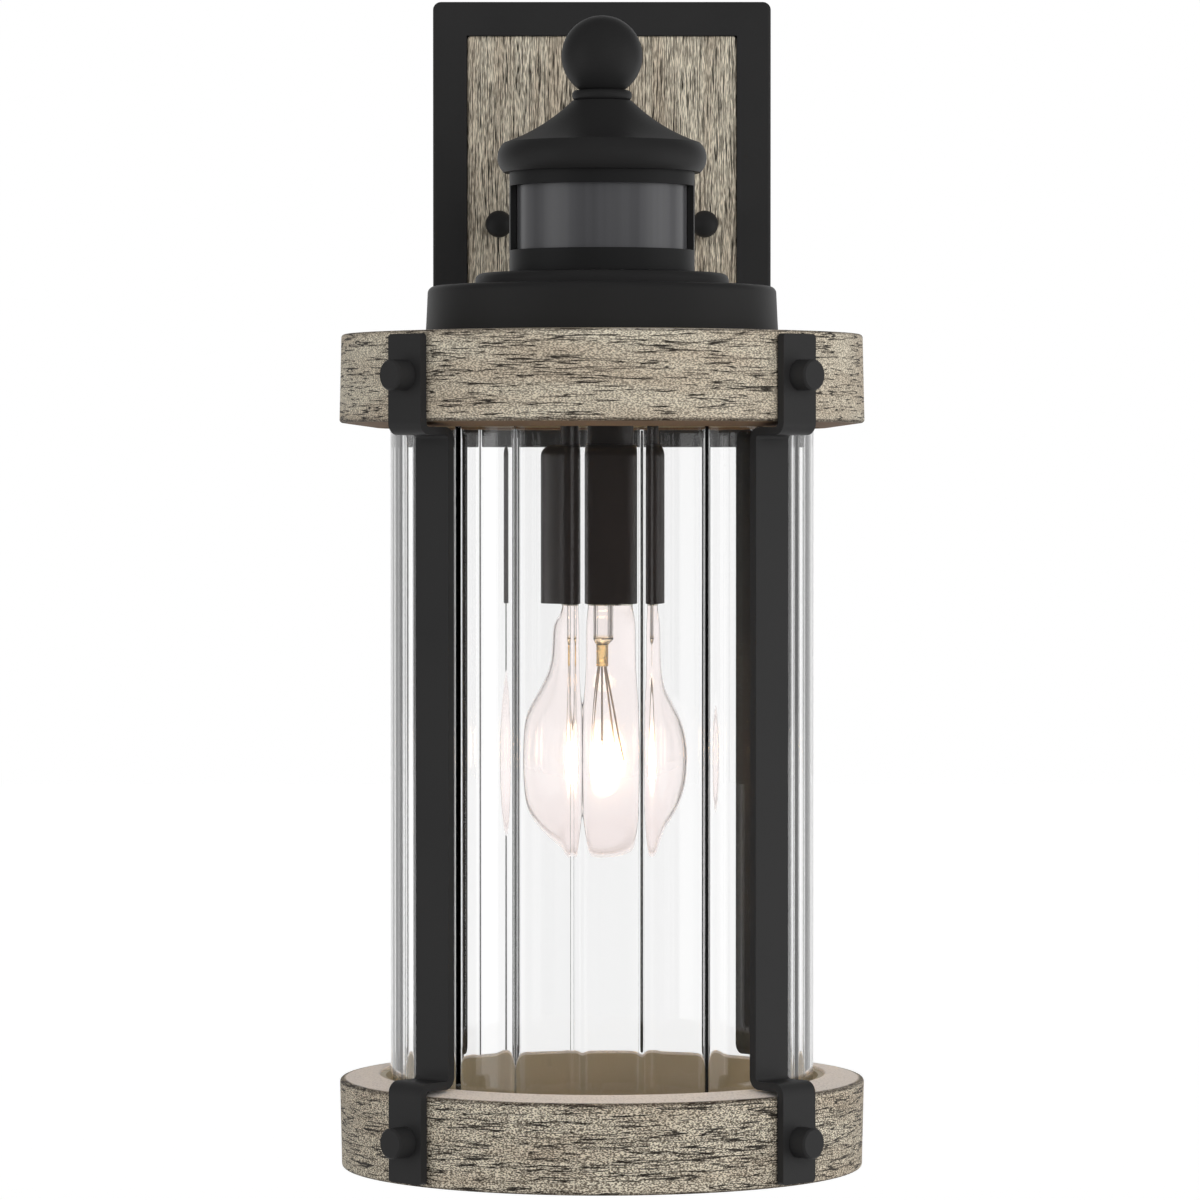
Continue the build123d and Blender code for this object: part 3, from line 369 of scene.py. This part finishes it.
soft_box("box_right", 80.0, 1.3, -0.20, (1.0, 1.5), 0.90)
soft_box("box_left", -65.0, 1.6, -0.20, (1.1, 1.6), 0.85)
fills = (
    soft_box("box_top", 20.0, 0.5, 1.6, (1.2, 1.2), 0.10),
    soft_box("box_front", 25.0, 2.6, 0.30, (1.6, 1.6), 2.20),
)
for fill in fills:
    fill.visible_glossy = fill.visible_transmission = False
print("four soft boxes")

# %% [markdown]
# Black powder coat: a plastic paint baked on steel. Up close it is a fine orange peel, which spreads highlights
# into the soft sheen that the straps, roof and drum show.

# %% Black coat
COAT_DARK, COAT_PALE = (0.0215, 0.0215, 0.0219), (0.0280, 0.0275, 0.0275)


def powder_coat(lift):
    """Coat whose colour is lift times as pale as on the lid. A lift above 1 is painted light: a paler copy of the
    coat that stands in for brighter light.
    """
    def shader(recipe):
        cloud = recipe.noise(30.0, 2.0)
        peel = recipe.noise(1700.0, 2.0)
        dark, pale = (tuple(lift * c for c in colour) for colour in (COAT_DARK, COAT_PALE))
        return recipe.surface(
            Base_Color=recipe.mix(cloud, dark, pale),
            Roughness=0.40 + 0.12 * cloud + 0.05 * peel,
            Specular_IOR_Level=0.11,
            Normal=recipe.bump(peel, 0.00003),
        )
    return shader


black_coat = finish("black_powder_coat", powder_coat(1.0))
# Painted light: the plate, straps and bolts get a paler copy of the same black coat in place of the brighter light
# on them.
painted_light_coat = finish("painted_light_powder_coat", powder_coat(1.35))
print("black coats")

# %% [markdown]
# The rings and the wall panel carry a weathered wood finish: pale grey-beige peppered with fine dark dots, and
# crossed by hairline cracks along the grain. Noise stretched along one axis gives all of them. On the rings the
# stretch is level, so the streaks run round the hoop with no seam. On the panel it is upright.

# %% Weathered wood
PALE = srgb(246, 236, 214)
WARM = srgb(226, 211, 188)
PEPPER = srgb(86, 74, 60)
CRACK = srgb(30, 25, 21)
PANEL_RUN, PANEL_FINE = 0.7, 1.7
GRAIN_DEPTH = 0.00012
CRACK_LEVEL = 0.40


def grained(recipe, upright, along, across, **settings):
    """Noise with along and across repeats to a metre, for a grain that runs round a ring or up a panel."""
    if upright:
        along, across = PANEL_RUN * along, PANEL_FINE * across
        return recipe.noise((across, along, along), **settings)
    return recipe.noise((along, along, across), **settings)


def wood_colour(recipe, upright, pepper_along, pepper_and_shade_share, wear_and_shade):
    """Colour and height of the grain: pale ground, fine pepper, and hairline cracks where wear and painted shade
    are higher.

    A crack runs where a stretched noise crosses one value, which draws thin lines that wander along the grain. The
    value is off the noise's middle, where its lattice would leave round blots.
    """
    tone = grained(recipe, upright, 16.0, 90.0, detail=3.0)
    pepper = grained(recipe, upright, pepper_along, 2800.0, detail=1.0)
    field = grained(recipe, upright, 60.0, 1000.0, detail=1.0)
    patch = grained(recipe, upright, 140.0, 900.0, detail=2.0)
    spotted = pepper_and_shade_share * recipe.step(pepper, 0.40, 0.58)
    off_line = recipe.math("ABSOLUTE", field - CRACK_LEVEL)
    crack = (1 - recipe.step(off_line, 0.015, 0.06)) * recipe.step(patch + wear_and_shade, 0.48, 0.60)
    base = recipe.mix(recipe.step(tone, 0.35, 0.68), PALE, WARM)
    base = recipe.mix(spotted, base, PEPPER)
    base = recipe.mix(crack * 0.95, base, CRACK)
    return base, 1 - 0.25 * spotted - 0.75 * crack


def panel_wood(recipe):
    """Upright grain, with wear like the rings' but with longer dots."""
    colour, height = wood_colour(recipe, True, 450.0, 0.70, 0.20)
    return recipe.surface(
        Base_Color=colour, Roughness=0.72, Specular_IOR_Level=0.3, Normal=recipe.bump(height, GRAIN_DEPTH)
    )


def slab_points(low, high, bevel, corner):
    """Rows from the back edge round the bevel to the middle of the face, columns round the outline.

    A row is the rounded rectangle drawn in by d: straight sides, with quarter circles of radius corner less d.
    """
    turn = np.linspace(0, np.pi / 2, 6)
    inset = np.concatenate([[0.0], bevel * (1 - np.cos(turn)), [2 * bevel]])
    depth = np.concatenate([[high[1]], low[1] + bevel * (1 - np.sin(turn)), [low[1]]])
    angle = (np.arange(4)[:, None] * np.pi / 2 + turn[None, :]).ravel()
    side_x = np.repeat([1, -1, -1, 1], len(turn))
    side_z = np.repeat([1, 1, -1, -1], len(turn))
    half_x, half_z = (high[0] - low[0]) / 2, (high[2] - low[2]) / 2
    radius = np.maximum(corner - inset, 1e-4)[:, None]
    x = side_x * (half_x - inset[:, None] - radius) + radius * np.cos(angle)
    z = side_z * (half_z - inset[:, None] - radius) + radius * np.sin(angle)
    y = np.broadcast_to(depth[:, None], x.shape)
    middle = [(low[0] + high[0]) / 2, 0.0, (low[2] + high[2]) / 2]
    rim = np.stack([x, y, z], axis=-1) + middle
    centre = np.broadcast_to([middle[0], low[1], middle[2]], rim[:1].shape)
    back = np.broadcast_to([middle[0], high[1], middle[2]], rim[:1].shape)
    return np.concatenate([back, rim, centre])


PANEL_BEVEL, PANEL_CORNER = 0.0009, 0.0015
panel = sheet_piece("wood_panel", slab_points(*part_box("plate_panel"), PANEL_BEVEL, PANEL_CORNER))
dress(panel, finish("panel_wood", panel_wood))
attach(panel, "lantern")
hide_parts("plate_panel")
print("panel", len(panel.data.polygons), "faces")

# %% [markdown]
# A ring shows grain on its outer wall alone. Its upper face is plain pale paint, made paler still as painted light
# from above, its lower face is a painted shade of brown, and its rims are burnished dark. All follow from a point's
# distance to the axis and its height, so one finish serves each whole ring.

# %% Ring wood
RIM_DARK = srgb(60, 50, 42)
PALE_PAINT_AND_PAINTED_LIGHT = srgb(246, 238, 231)
UNDERSIDE_PAINTED_SHADE = srgb(124, 100, 78)
WALL_FROM, WALL_TO = 0.0896, 0.0909
RIM_REACH = 0.0011


def ring_wood(low, high, pepper_and_shade_share, wear_and_shade):
    """Wood of a ring whose outer wall runs from low to high."""
    def shader(recipe):
        x, y, z = recipe.axes()
        y = y - AXIS_Y
        radius = (x * x + y * y) ** 0.5
        wall = recipe.step(radius, WALL_FROM, WALL_TO)
        to_rim = recipe.math("MINIMUM", z - low, high - z)
        speck = recipe.noise(1300.0, 2.0)
        grain, height = wood_colour(recipe, False, 1300.0, pepper_and_shade_share, wear_and_shade)
        # Painted shade and light: the lower face is brown for the shade under the ring, the faces above it extra
        # pale for light from above.
        face = recipe.mix(recipe.step(z, low + RIM_REACH, high - RIM_REACH), UNDERSIDE_PAINTED_SHADE, PALE_PAINT_AND_PAINTED_LIGHT)
        face = recipe.mix(recipe.step(speck, 0.45, 0.7) * 0.25, face, PEPPER)
        colour = recipe.mix(wall, face, grain)
        rim = wall * (1 - recipe.step(to_rim, 0.0002, RIM_REACH)) * recipe.step(speck, 0.2, 0.6)
        colour = recipe.mix(rim * 0.8, colour, RIM_DARK)
        return recipe.surface(
            Base_Color=colour, Roughness=0.7, Specular_IOR_Level=0.3, Normal=recipe.bump(height * wall, GRAIN_DEPTH)
        )
    return shader


RING_LIP = 0.002
# The lower ring gets more pepper and more cracks than the top ring: partly wear, partly painted shade for the
# dimmer light low down.
RING_LOOKS = (
    ("top_ring", RING_LIP, 0.0, 0.68, 0.14),
    ("lower_ring", 0.0, RING_LIP, 0.90, 0.32),
)
for ring_name, lip_low, lip_high, pepper_and_shade_share, wear_and_shade in RING_LOOKS:
    ring_low, ring_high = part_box(ring_name)
    wood = ring_wood(ring_low.z + lip_low, ring_high.z - lip_high, pepper_and_shade_share, wear_and_shade)
    dress(nodes[ring_name], finish(f"{ring_name}_wood", wood))
    print(ring_name, round(ring_low.z, 4), round(ring_high.z, 4))

# %% [markdown]
# The shade is a clear drawn cylinder with nineteen narrow ribs inside. Each rib is a soft swelling of the wall, and
# acts as a strong upright lens: the bulb and the socket break up behind it. Points are packed closely at the ribs,
# because what bends the light there is how fast the wall turns.

# %% Glass shade
RIBS = 19
RIB_PHASE = 6.7
RIB_HEIGHT = 0.00135
RIB_SPREAD = 0.0018
SHADE_RADIUS = 0.07425
SHADE_WALL = 0.003
COLUMNS_PER_RIB = 64
PACKING = 0.85
GLASS_IOR = 1.5
LAMPS_THROUGH = (0.94, 0.95, 0.95)


def shade_angles():
    """Angles packed towards the ribs: within a rib's share t, the step shrinks by 1 - packing x cos(2 pi t)."""
    share = np.arange(COLUMNS_PER_RIB) / COLUMNS_PER_RIB
    packed = share - PACKING * np.sin(2 * np.pi * share) / (2 * np.pi)
    steps = (np.arange(RIBS)[:, None] + packed[None, :]).ravel()
    return steps * 2 * np.pi / RIBS - math.radians(RIB_PHASE), packed


def shade_points():
    """The wall's outline as rows, carried round: up the outside, over the rim, down the inside, under the rim.

    The inner radius is the bore less a bell curve of the distance to the nearest rib.
    """
    low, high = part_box("glass_shade")
    angles, packed = shade_angles()
    bore = SHADE_RADIUS - SHADE_WALL
    nearest = np.minimum(packed, 1 - packed) * 2 * np.pi / RIBS * bore
    inner = bore - RIB_HEIGHT * np.exp(-0.5 * np.tile(nearest / RIB_SPREAD, RIBS) ** 2)
    turn = np.linspace(0, np.pi, 9)
    half = SHADE_WALL / 2
    edge = np.concatenate([[-half], -half * np.cos(turn), [half]])
    lift = np.concatenate([[-half], half * np.sin(turn), [-half]]) - half
    across = np.concatenate([edge, edge[::-1]])
    heights = np.concatenate([high.z + lift, low.z - lift[::-1]])
    blend = (across[:, None] + half) / SHADE_WALL
    radii = (1 - blend) * SHADE_RADIUS + blend * inner[None, :]
    return spun(radii, heights, angles)


def open_to_lamps(recipe, body, through):
    """Glass for the eye. Lamps see through it, so what stands inside is lit without noise."""
    lamps = recipe.node("BsdfTransparent", None, {"Color": through})
    shadow = recipe.node("LightPath", output="Is Shadow Ray")
    return recipe.node("MixShader", None, {0: shadow, 1: body, 2: lamps})


def clear_glass(recipe):
    body = recipe.surface(Base_Color=(1.0, 1.0, 1.0), Roughness=0.0, IOR=GLASS_IOR, Transmission_Weight=1.0)
    return open_to_lamps(recipe, body, LAMPS_THROUGH)


shade = sheet_piece("ribbed_shade", shade_points(), wrap_rows=True)
dress(shade, finish("clear_ribbed_glass", clear_glass))
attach(shade, "lantern")
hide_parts("glass_shade")
print("shade", len(shade.data.polygons), "faces")

# %% [markdown]
# The bulb is a clear pear with the CAD envelope's ends and widest part, and a fuller neck below the cap. It is one
# curve whose bend never jumps, because a jump would show as a line in every reflection. A thin haze in the glass
# spreads the filament's light, and a faint glow painted into the glass itself stands in for more of that light.

# %% Bulb glass
def smooth_curve(points, count):
    """Cubic curve through points, with its second derivative unbroken: natural spline over chord length."""
    points = np.asarray(points, float)
    chord = np.linalg.norm(np.diff(points, axis=0), axis=1)
    t = np.concatenate([[0], np.cumsum(chord)])
    size = len(t)
    system = np.eye(size)
    right = np.zeros_like(points)
    for k in range(1, size - 1):
        system[k, k - 1:k + 2] = chord[k - 1], 2 * (chord[k - 1] + chord[k]), chord[k]
        right[k] = 6 * ((points[k + 1] - points[k]) / chord[k] - (points[k] - points[k - 1]) / chord[k - 1])
    bend = np.linalg.solve(system, right)
    at = np.linspace(0, t[-1], count)
    k = np.clip(np.searchsorted(t, at, side="right") - 1, 0, size - 2)
    h, a, b = chord[k][:, None], (t[k + 1] - at)[:, None], (at - t[k])[:, None]
    return (
        bend[k] * a ** 3 / (6 * h) + bend[k + 1] * b ** 3 / (6 * h)
        + (points[k] / h - bend[k] * h / 6) * a + (points[k + 1] / h - bend[k + 1] * h / 6) * b
    )


BULB_RADIUS, NECK_RADIUS = 0.030, 0.0123
BULB_WIDEST = 0.0333
BULB_WALL = 0.0008
CAP_LAP = 0.010
PEAR_KNOTS = ((0.09, 0.21), (0.20, 0.29), (0.38, 0.345), (0.56, 0.60), (0.76, 0.905))
NECK_HOLD = 0.0015
BULB_ROWS, BULB_COLUMNS = 90, 128


def pear(inset):
    """Outline of the envelope as radius and height, drawn in by inset: neck, shoulder knots, widest, crown."""
    low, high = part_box("bulb_envelope")
    neck, wide = NECK_RADIUS - inset, BULB_RADIUS - inset
    cap, middle = high.z - CAP_LAP, low.z + BULB_WIDEST
    drop = cap - middle
    shoulder = [(neck + out * (wide - neck), cap - down * drop) for down, out in PEAR_KNOTS]
    turn = np.linspace(0, np.pi / 2, 7)
    crown = np.stack([wide * np.cos(turn), middle - (BULB_WIDEST - inset) * np.sin(turn)], axis=-1)
    straight = [(neck, high.z), (neck, cap + NECK_HOLD), (neck, cap)]
    line = smooth_curve([*straight, *shoulder, *crown], BULB_ROWS)
    line[-1, 0] = 0.0
    return line


outside, inside = pear(0.0), pear(BULB_WALL)
outline = np.concatenate([outside[::-1], inside])
turns = np.linspace(0, 2 * np.pi, BULB_COLUMNS, endpoint=False)
envelope = sheet_piece("bulb_glass", spun(outline[:, :1], outline[:, 1], turns))


BULB_IOR = 1.25
CROWN_TINT, NECK_TINT = (0.965, 0.915, 0.910), (1.0, 0.966, 0.962)
TINT_REACH = 0.035
BULB_PAINTED_GLOW, PAINTED_GLOW_STRENGTH = (1.0, 0.93, 0.90), 0.03
HAZE_TINT, HAZE_SHARE = (1.0, 0.93, 0.92), 0.035
BULB_LAMPS_THROUGH = (0.96, 0.95, 0.94)


def bulb_glass(recipe):
    """Clear glass, a shade warmer towards the crown, with a small share of haze."""
    z = recipe.axes()[2]
    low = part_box("bulb_envelope")[0].z
    tint = recipe.mix(recipe.step(z, low, low + TINT_REACH), CROWN_TINT, NECK_TINT)
    clear = recipe.surface(
        Base_Color=tint, Roughness=0.0, IOR=BULB_IOR, Transmission_Weight=1.0,
        # Painted light: the glass itself glows faintly, though only the filament gives light.
        Emission_Color=BULB_PAINTED_GLOW, Emission_Strength=PAINTED_GLOW_STRENGTH,
    )
    haze = recipe.surface(Base_Color=HAZE_TINT, Roughness=0.6, IOR=BULB_IOR, Transmission_Weight=1.0)
    body = recipe.node("MixShader", None, {0: HAZE_SHARE, 1: clear, 2: haze})
    return open_to_lamps(recipe, body, BULB_LAMPS_THROUGH)


dress(envelope, finish("bulb_glass", bulb_glass))
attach(envelope, "bulb")
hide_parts("bulb_envelope")
print("bulb", len(envelope.data.polygons), "faces")

# %% [markdown]
# The filament is a tungsten coil bent into an open ring. A helix carried along an arc, with a round wire carried
# along the helix, gives it from three sums. It glows, and a small warm lamp in its middle does the lighting.

# %% Filament
FILAMENT_RING = 0.008
FILAMENT_HALF = math.radians(140.0)
COIL_RADIUS, COIL_WIRE = 0.00042, 0.00016
COIL_TURNS, COIL_STEPS, WIRE_SIDES = 48, 16, 8


def filament_points():
    """Round wire on a helix on an arc.

    The helix runs at coil radius round the arc, at an angle of coil. Its own direction is the coil's turn plus the
    arc's, and the wire's circle stands square to that: one axis straight out of the coil, the other across both.
    The first and last rows shrink to a point and close the ends.
    """
    low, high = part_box("bulb_filament")
    t = np.linspace(0, 1, COIL_TURNS * COIL_STEPS + 1)
    t = np.concatenate([[0.0], t, [1.0]])[:, None, None]
    wire = np.full(t.shape, COIL_WIRE)
    wire[[0, -1]] = 0.0
    side = np.linspace(0, 2 * np.pi, WIRE_SIDES, endpoint=False)[None, :, None]
    arc = (2 * t - 1) * FILAMENT_HALF
    coil = 2 * np.pi * COIL_TURNS * t
    zero = np.zeros_like(arc)
    outward = np.concatenate([np.sin(arc), -np.cos(arc), zero], axis=-1)
    onward = np.concatenate([np.cos(arc), np.sin(arc), zero], axis=-1)
    upward = np.array([0.0, 0.0, 1.0])
    off_coil = np.cos(coil) * outward + np.sin(coil) * upward
    turning = np.cos(coil) * upward - np.sin(coil) * outward
    coil_speed = 2 * np.pi * COIL_TURNS * COIL_RADIUS
    arc_speed = 2 * FILAMENT_HALF * FILAMENT_RING
    square = (coil_speed * onward - arc_speed * turning) / math.hypot(coil_speed, arc_speed)
    middle = np.array([0.0, AXIS_Y, (low.z + high.z) / 2])
    centre = middle + FILAMENT_RING * outward + COIL_RADIUS * off_coil
    return centre + wire * (np.cos(side) * off_coil + np.sin(side) * square)


TUNGSTEN = (0.3, 0.25, 0.2)
GLOW, COIL_STRENGTH = (1.0, 0.72, 0.34), 90.0
LAMP_COLOUR, LAMP_WATTS = (1.0, 0.70, 0.42), 0.08
glow = finish("glowing_tungsten", lambda recipe: recipe.surface(
    Base_Color=TUNGSTEN, Emission_Color=GLOW, Emission_Strength=COIL_STRENGTH))
filament = sheet_piece("filament_coil", filament_points())
dress(filament, glow)
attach(filament, "bulb")
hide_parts("bulb_filament")

warm = bpy.data.lights.new("bulb_light", "POINT")
warm.color = LAMP_COLOUR
warm.energy = LAMP_WATTS
warm.shadow_soft_size = FILAMENT_RING
bulb_light = bpy.data.objects.new("bulb_light", warm)
filament_low, filament_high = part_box("bulb_filament")
bulb_light.location = (0.0, AXIS_Y, (filament_low.z + filament_high.z) / 2)
bulb_light.parent = frame["bodies"]["bulb"]
scene.collection.objects.link(bulb_light)
print("filament", len(filament.data.polygons), "faces")

# %% [markdown]
# The bulb screws in by a rolled thread on its metal cap, which shows when the bulb is out. A thread is a wave on a
# cylinder that climbs by one pitch in each turn. It fades out towards the plain skirt and the shoulder.

# %% Bulb cap
THREAD_PITCH, THREAD_DEPTH = 0.00363, 0.00055
SKIRT, SHOULDER = 0.0045, 0.0035
CAP_RADIUS, CAP_BORE = 0.013, 0.01235
CAP_ROWS, CAP_COLUMNS = 96, 128


def cap_points():
    """Rows up the bore's wall to its roof, and from the skirt over the thread and the shoulder to the middle.

    The thread takes depth x (1 + cos(2 pi height / pitch - turn)) / 2 off the radius, times a fade at both ends.
    """
    low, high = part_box("bulb_cap")
    angles = np.linspace(0, 2 * np.pi, CAP_COLUMNS, endpoint=False)
    heights = np.linspace(low.z, high.z - SHOULDER, CAP_ROWS)[:, None]
    start, end = low.z + SKIRT, high.z - SHOULDER
    fade = np.clip(np.minimum(heights - start, end - heights) / (THREAD_PITCH / 2), 0, 1)
    wave = (1 + np.cos(2 * np.pi * heights / THREAD_PITCH - angles)) / 2
    thread = CAP_RADIUS - THREAD_DEPTH * wave * fade
    turn = np.linspace(0, np.pi / 2, 8)[1:, None]
    shoulder = CAP_RADIUS - SHOULDER + SHOULDER * np.cos(turn) + 0 * angles
    roof = low.z + CAP_LAP
    flat = np.zeros((1, CAP_COLUMNS))
    radii = np.concatenate([flat, flat + CAP_BORE, flat + CAP_BORE, thread, shoulder, flat])
    levels = np.concatenate([[roof, roof, low.z], heights[:, 0], end + SHOULDER * np.sin(turn[:, 0]), [high.z]])
    return spun(radii, levels, angles)


cap = sheet_piece("threaded_cap", cap_points())
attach(cap, "bulb")
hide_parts("bulb_cap")
print("cap", len(cap.data.polygons), "faces")

# %% [markdown]
# The remaining solids keep their CAD shape and get a finish each. Plastics and metals differ in a few numbers, so
# two functions write them all: a plastic has a faint mottled colour and moulded texture, a metal has brushed or
# cast variation in its shine.

# %% Plastics, metals and the rest
def plastic(colour, roughness=0.45, texture=900.0, depth=0.00001, shine=0.5):
    """Moulded or painted surface: clouds a little darker than colour, and a fine texture of the given depth."""
    def shader(recipe):
        cloud, fine = recipe.noise(60.0, 2.0), recipe.noise(texture, 2.0)
        darker = tuple(c * 0.82 for c in colour)
        return recipe.surface(
            Base_Color=recipe.mix(cloud, darker, colour),
            Roughness=roughness + 0.1 * (cloud - 0.5),
            Specular_IOR_Level=shine,
            Normal=recipe.bump(fine, depth),
        )
    return shader


def metal(colour, roughness=0.3, depth=0.00001):
    """Bare or plated metal: clouds darker than colour, and a fine change in its shine."""
    def shader(recipe):
        cloud, fine = recipe.noise(80.0, 3.0), recipe.noise(400.0, 3.0)
        darker = tuple(c * 0.7 for c in colour)
        return recipe.surface(
            Base_Color=recipe.mix(cloud, darker, colour),
            Metallic=1.0,
            Roughness=roughness + 0.15 * (fine - 0.5),
            Normal=recipe.bump(fine, depth),
        )
    return shader


def smoke_window(recipe):
    """Dark moulded window: smooth and glossy, with faint upright bands left by the mould, and a paler edge that is
    a painted highlight.
    """
    low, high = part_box("sensor_lens")
    x, _, z = recipe.axes()
    inside = recipe.math("MINIMUM", high.x - recipe.math("ABSOLUTE", x), z - low.z)
    inside = recipe.math("MINIMUM", inside, high.z - z)
    # Painted highlight: a pale line round the window's edges.
    edge = 1 - recipe.step(inside, 0.0003, 0.0008)
    band = recipe.noise((260.0, 260.0, 4.0), 2.0)
    colour = recipe.mix(band, srgb(71, 71, 73), srgb(89, 89, 92))
    return recipe.surface(
        Base_Color=recipe.mix(edge * 0.7, colour, srgb(132, 132, 134)),
        Roughness=0.26 + 0.06 * band,
    )


def stem_glass(recipe):
    """Clear tube whose pressed end is golden from the wires sealed in it."""
    z = recipe.axes()[2]
    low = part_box("bulb_stem")[0].z
    gold = 1 - recipe.step(z, low + 0.0085, low + 0.0115)
    return recipe.surface(
        Base_Color=recipe.mix(gold, (1.0, 0.99, 0.97), (0.95, 0.68, 0.3)),
        Roughness=0.03 + 0.1 * gold, IOR=1.45, Transmission_Weight=1.0,
        Normal=recipe.bump(recipe.noise(500.0, 2.0) * gold, 0.0006),
    )


def dark_bronze(recipe):
    """Thin brown-black lacquer on the socket's tube, shinier than the powder coat."""
    cloud = recipe.noise(45.0, 2.0)
    return recipe.surface(
        Base_Color=recipe.mix(cloud, (0.0120, 0.0064, 0.0046), (0.0190, 0.0108, 0.0080)),
        Roughness=0.30 + 0.08 * cloud,
        Specular_IOR_Level=0.5,
        Normal=recipe.bump(recipe.noise((900.0, 900.0, 60.0), 2.0), 0.00001),
    )


def clear_seal(recipe):
    """Milky silicone rubber."""
    return recipe.surface(Base_Color=(0.9, 0.9, 0.88), Roughness=0.35, IOR=1.41, Transmission_Weight=0.8)


FINISHES = {
    "black_coat": black_coat,
    "painted_light_coat": painted_light_coat,
    "black_plastic": finish("black_plastic", plastic((0.0190, 0.0190, 0.0194), 0.48, shine=0.12)),
    "tan_paint": finish("tan_paint", plastic(srgb(186, 172, 143), 0.5, 1500.0)),
    "steel": finish("zinc_plate", metal((0.62, 0.61, 0.58), 0.32)),
    "rubber": finish("grey_foam", plastic((0.05, 0.05, 0.05), 0.9, 700.0, 0.0002)),
    "clear_seal": finish("clear_seal", clear_seal),
    "green": finish("green_screw", metal((0.03, 0.22, 0.07), 0.35)),
    "white": finish("white_nylon", plastic((0.75, 0.74, 0.7), 0.4)),
    "lead": finish("lead_cover", plastic((0.03, 0.03, 0.03), 0.5)),
    "orange": finish("orange_connector", plastic((0.75, 0.22, 0.03), 0.4)),
    "window": finish("smoke_window", smoke_window),
    "board": finish("green_board", plastic((0.015, 0.14, 0.05), 0.35)),
    "can": finish("sensor_can", metal((0.72, 0.71, 0.68), 0.25)),
    "cell": finish("photocell_face", plastic((0.35, 0.12, 0.05), 0.3)),
    "relay": finish("relay_case", plastic((0.02, 0.05, 0.16), 0.35)),
    "dial": finish("dial_plastic", plastic((0.06, 0.06, 0.062), 0.4)),
    "porcelain": finish("porcelain", plastic((0.72, 0.7, 0.66), 0.2)),
    "brass": finish("brass", metal((0.72, 0.5, 0.2), 0.3)),
    "cap": finish("nickel_cap", metal((0.7, 0.66, 0.58), 0.28)),
    "black_glass": finish("black_glass", plastic((0.01, 0.01, 0.012), 0.08)),
    "stem": finish("stem_glass", stem_glass),
    "wire": finish("lead_wire", metal((0.42, 0.36, 0.30), 0.35)),
    "socket": finish("dark_bronze", dark_bronze),
}
WEARS = {
    # The paler coat on the plate, straps and bolts is painted light.
    "painted_light_coat": "wall_plate strap_front_left strap_front_right strap_rear_left strap_rear_right "
                 "strap_bolts",
    "black_coat": "arm drum sensor_base roof_cap finial_bead finial_ball cap_nuts",
    "socket": "socket_neck socket_cup",
    "black_plastic": "sensor_body",
    "tan_paint": "lower_cup top_pan",
    "steel": "mounting_bracket bracket_studs lock_nuts arm_screws pan_screws base_screws threaded_tube tube_nuts "
             "spring_washer finial_rod",
    "rubber": "wall_gasket wire_bushing",
    "clear_seal": "glass_seals",
    "green": "ground_screw",
    "white": "swivel_washer",
    "lead": "supply_leads socket_leads sensor_leads",
    "orange": "wire_connectors",
    "window": "sensor_lens",
    "board": "sensor_board",
    "can": "pir_sensor",
    "cell": "photocell",
    "relay": "relay dial_pots",
    "dial": "time_dial light_dial range_dial",
    "porcelain": "lampholder",
    "brass": "screw_shell centre_contact",
    "cap": "bulb_contact",
    "black_glass": "bulb_insulator",
    "stem": "bulb_stem",
    "wire": "bulb_wires",
}
for wear, names in WEARS.items():
    for node_name in names.split():
        dress(nodes[node_name], FINISHES[wear])
dress(cap, FINISHES["cap"])
print("dressed", sum(len(names.split()) for names in WEARS.values()), "solids")
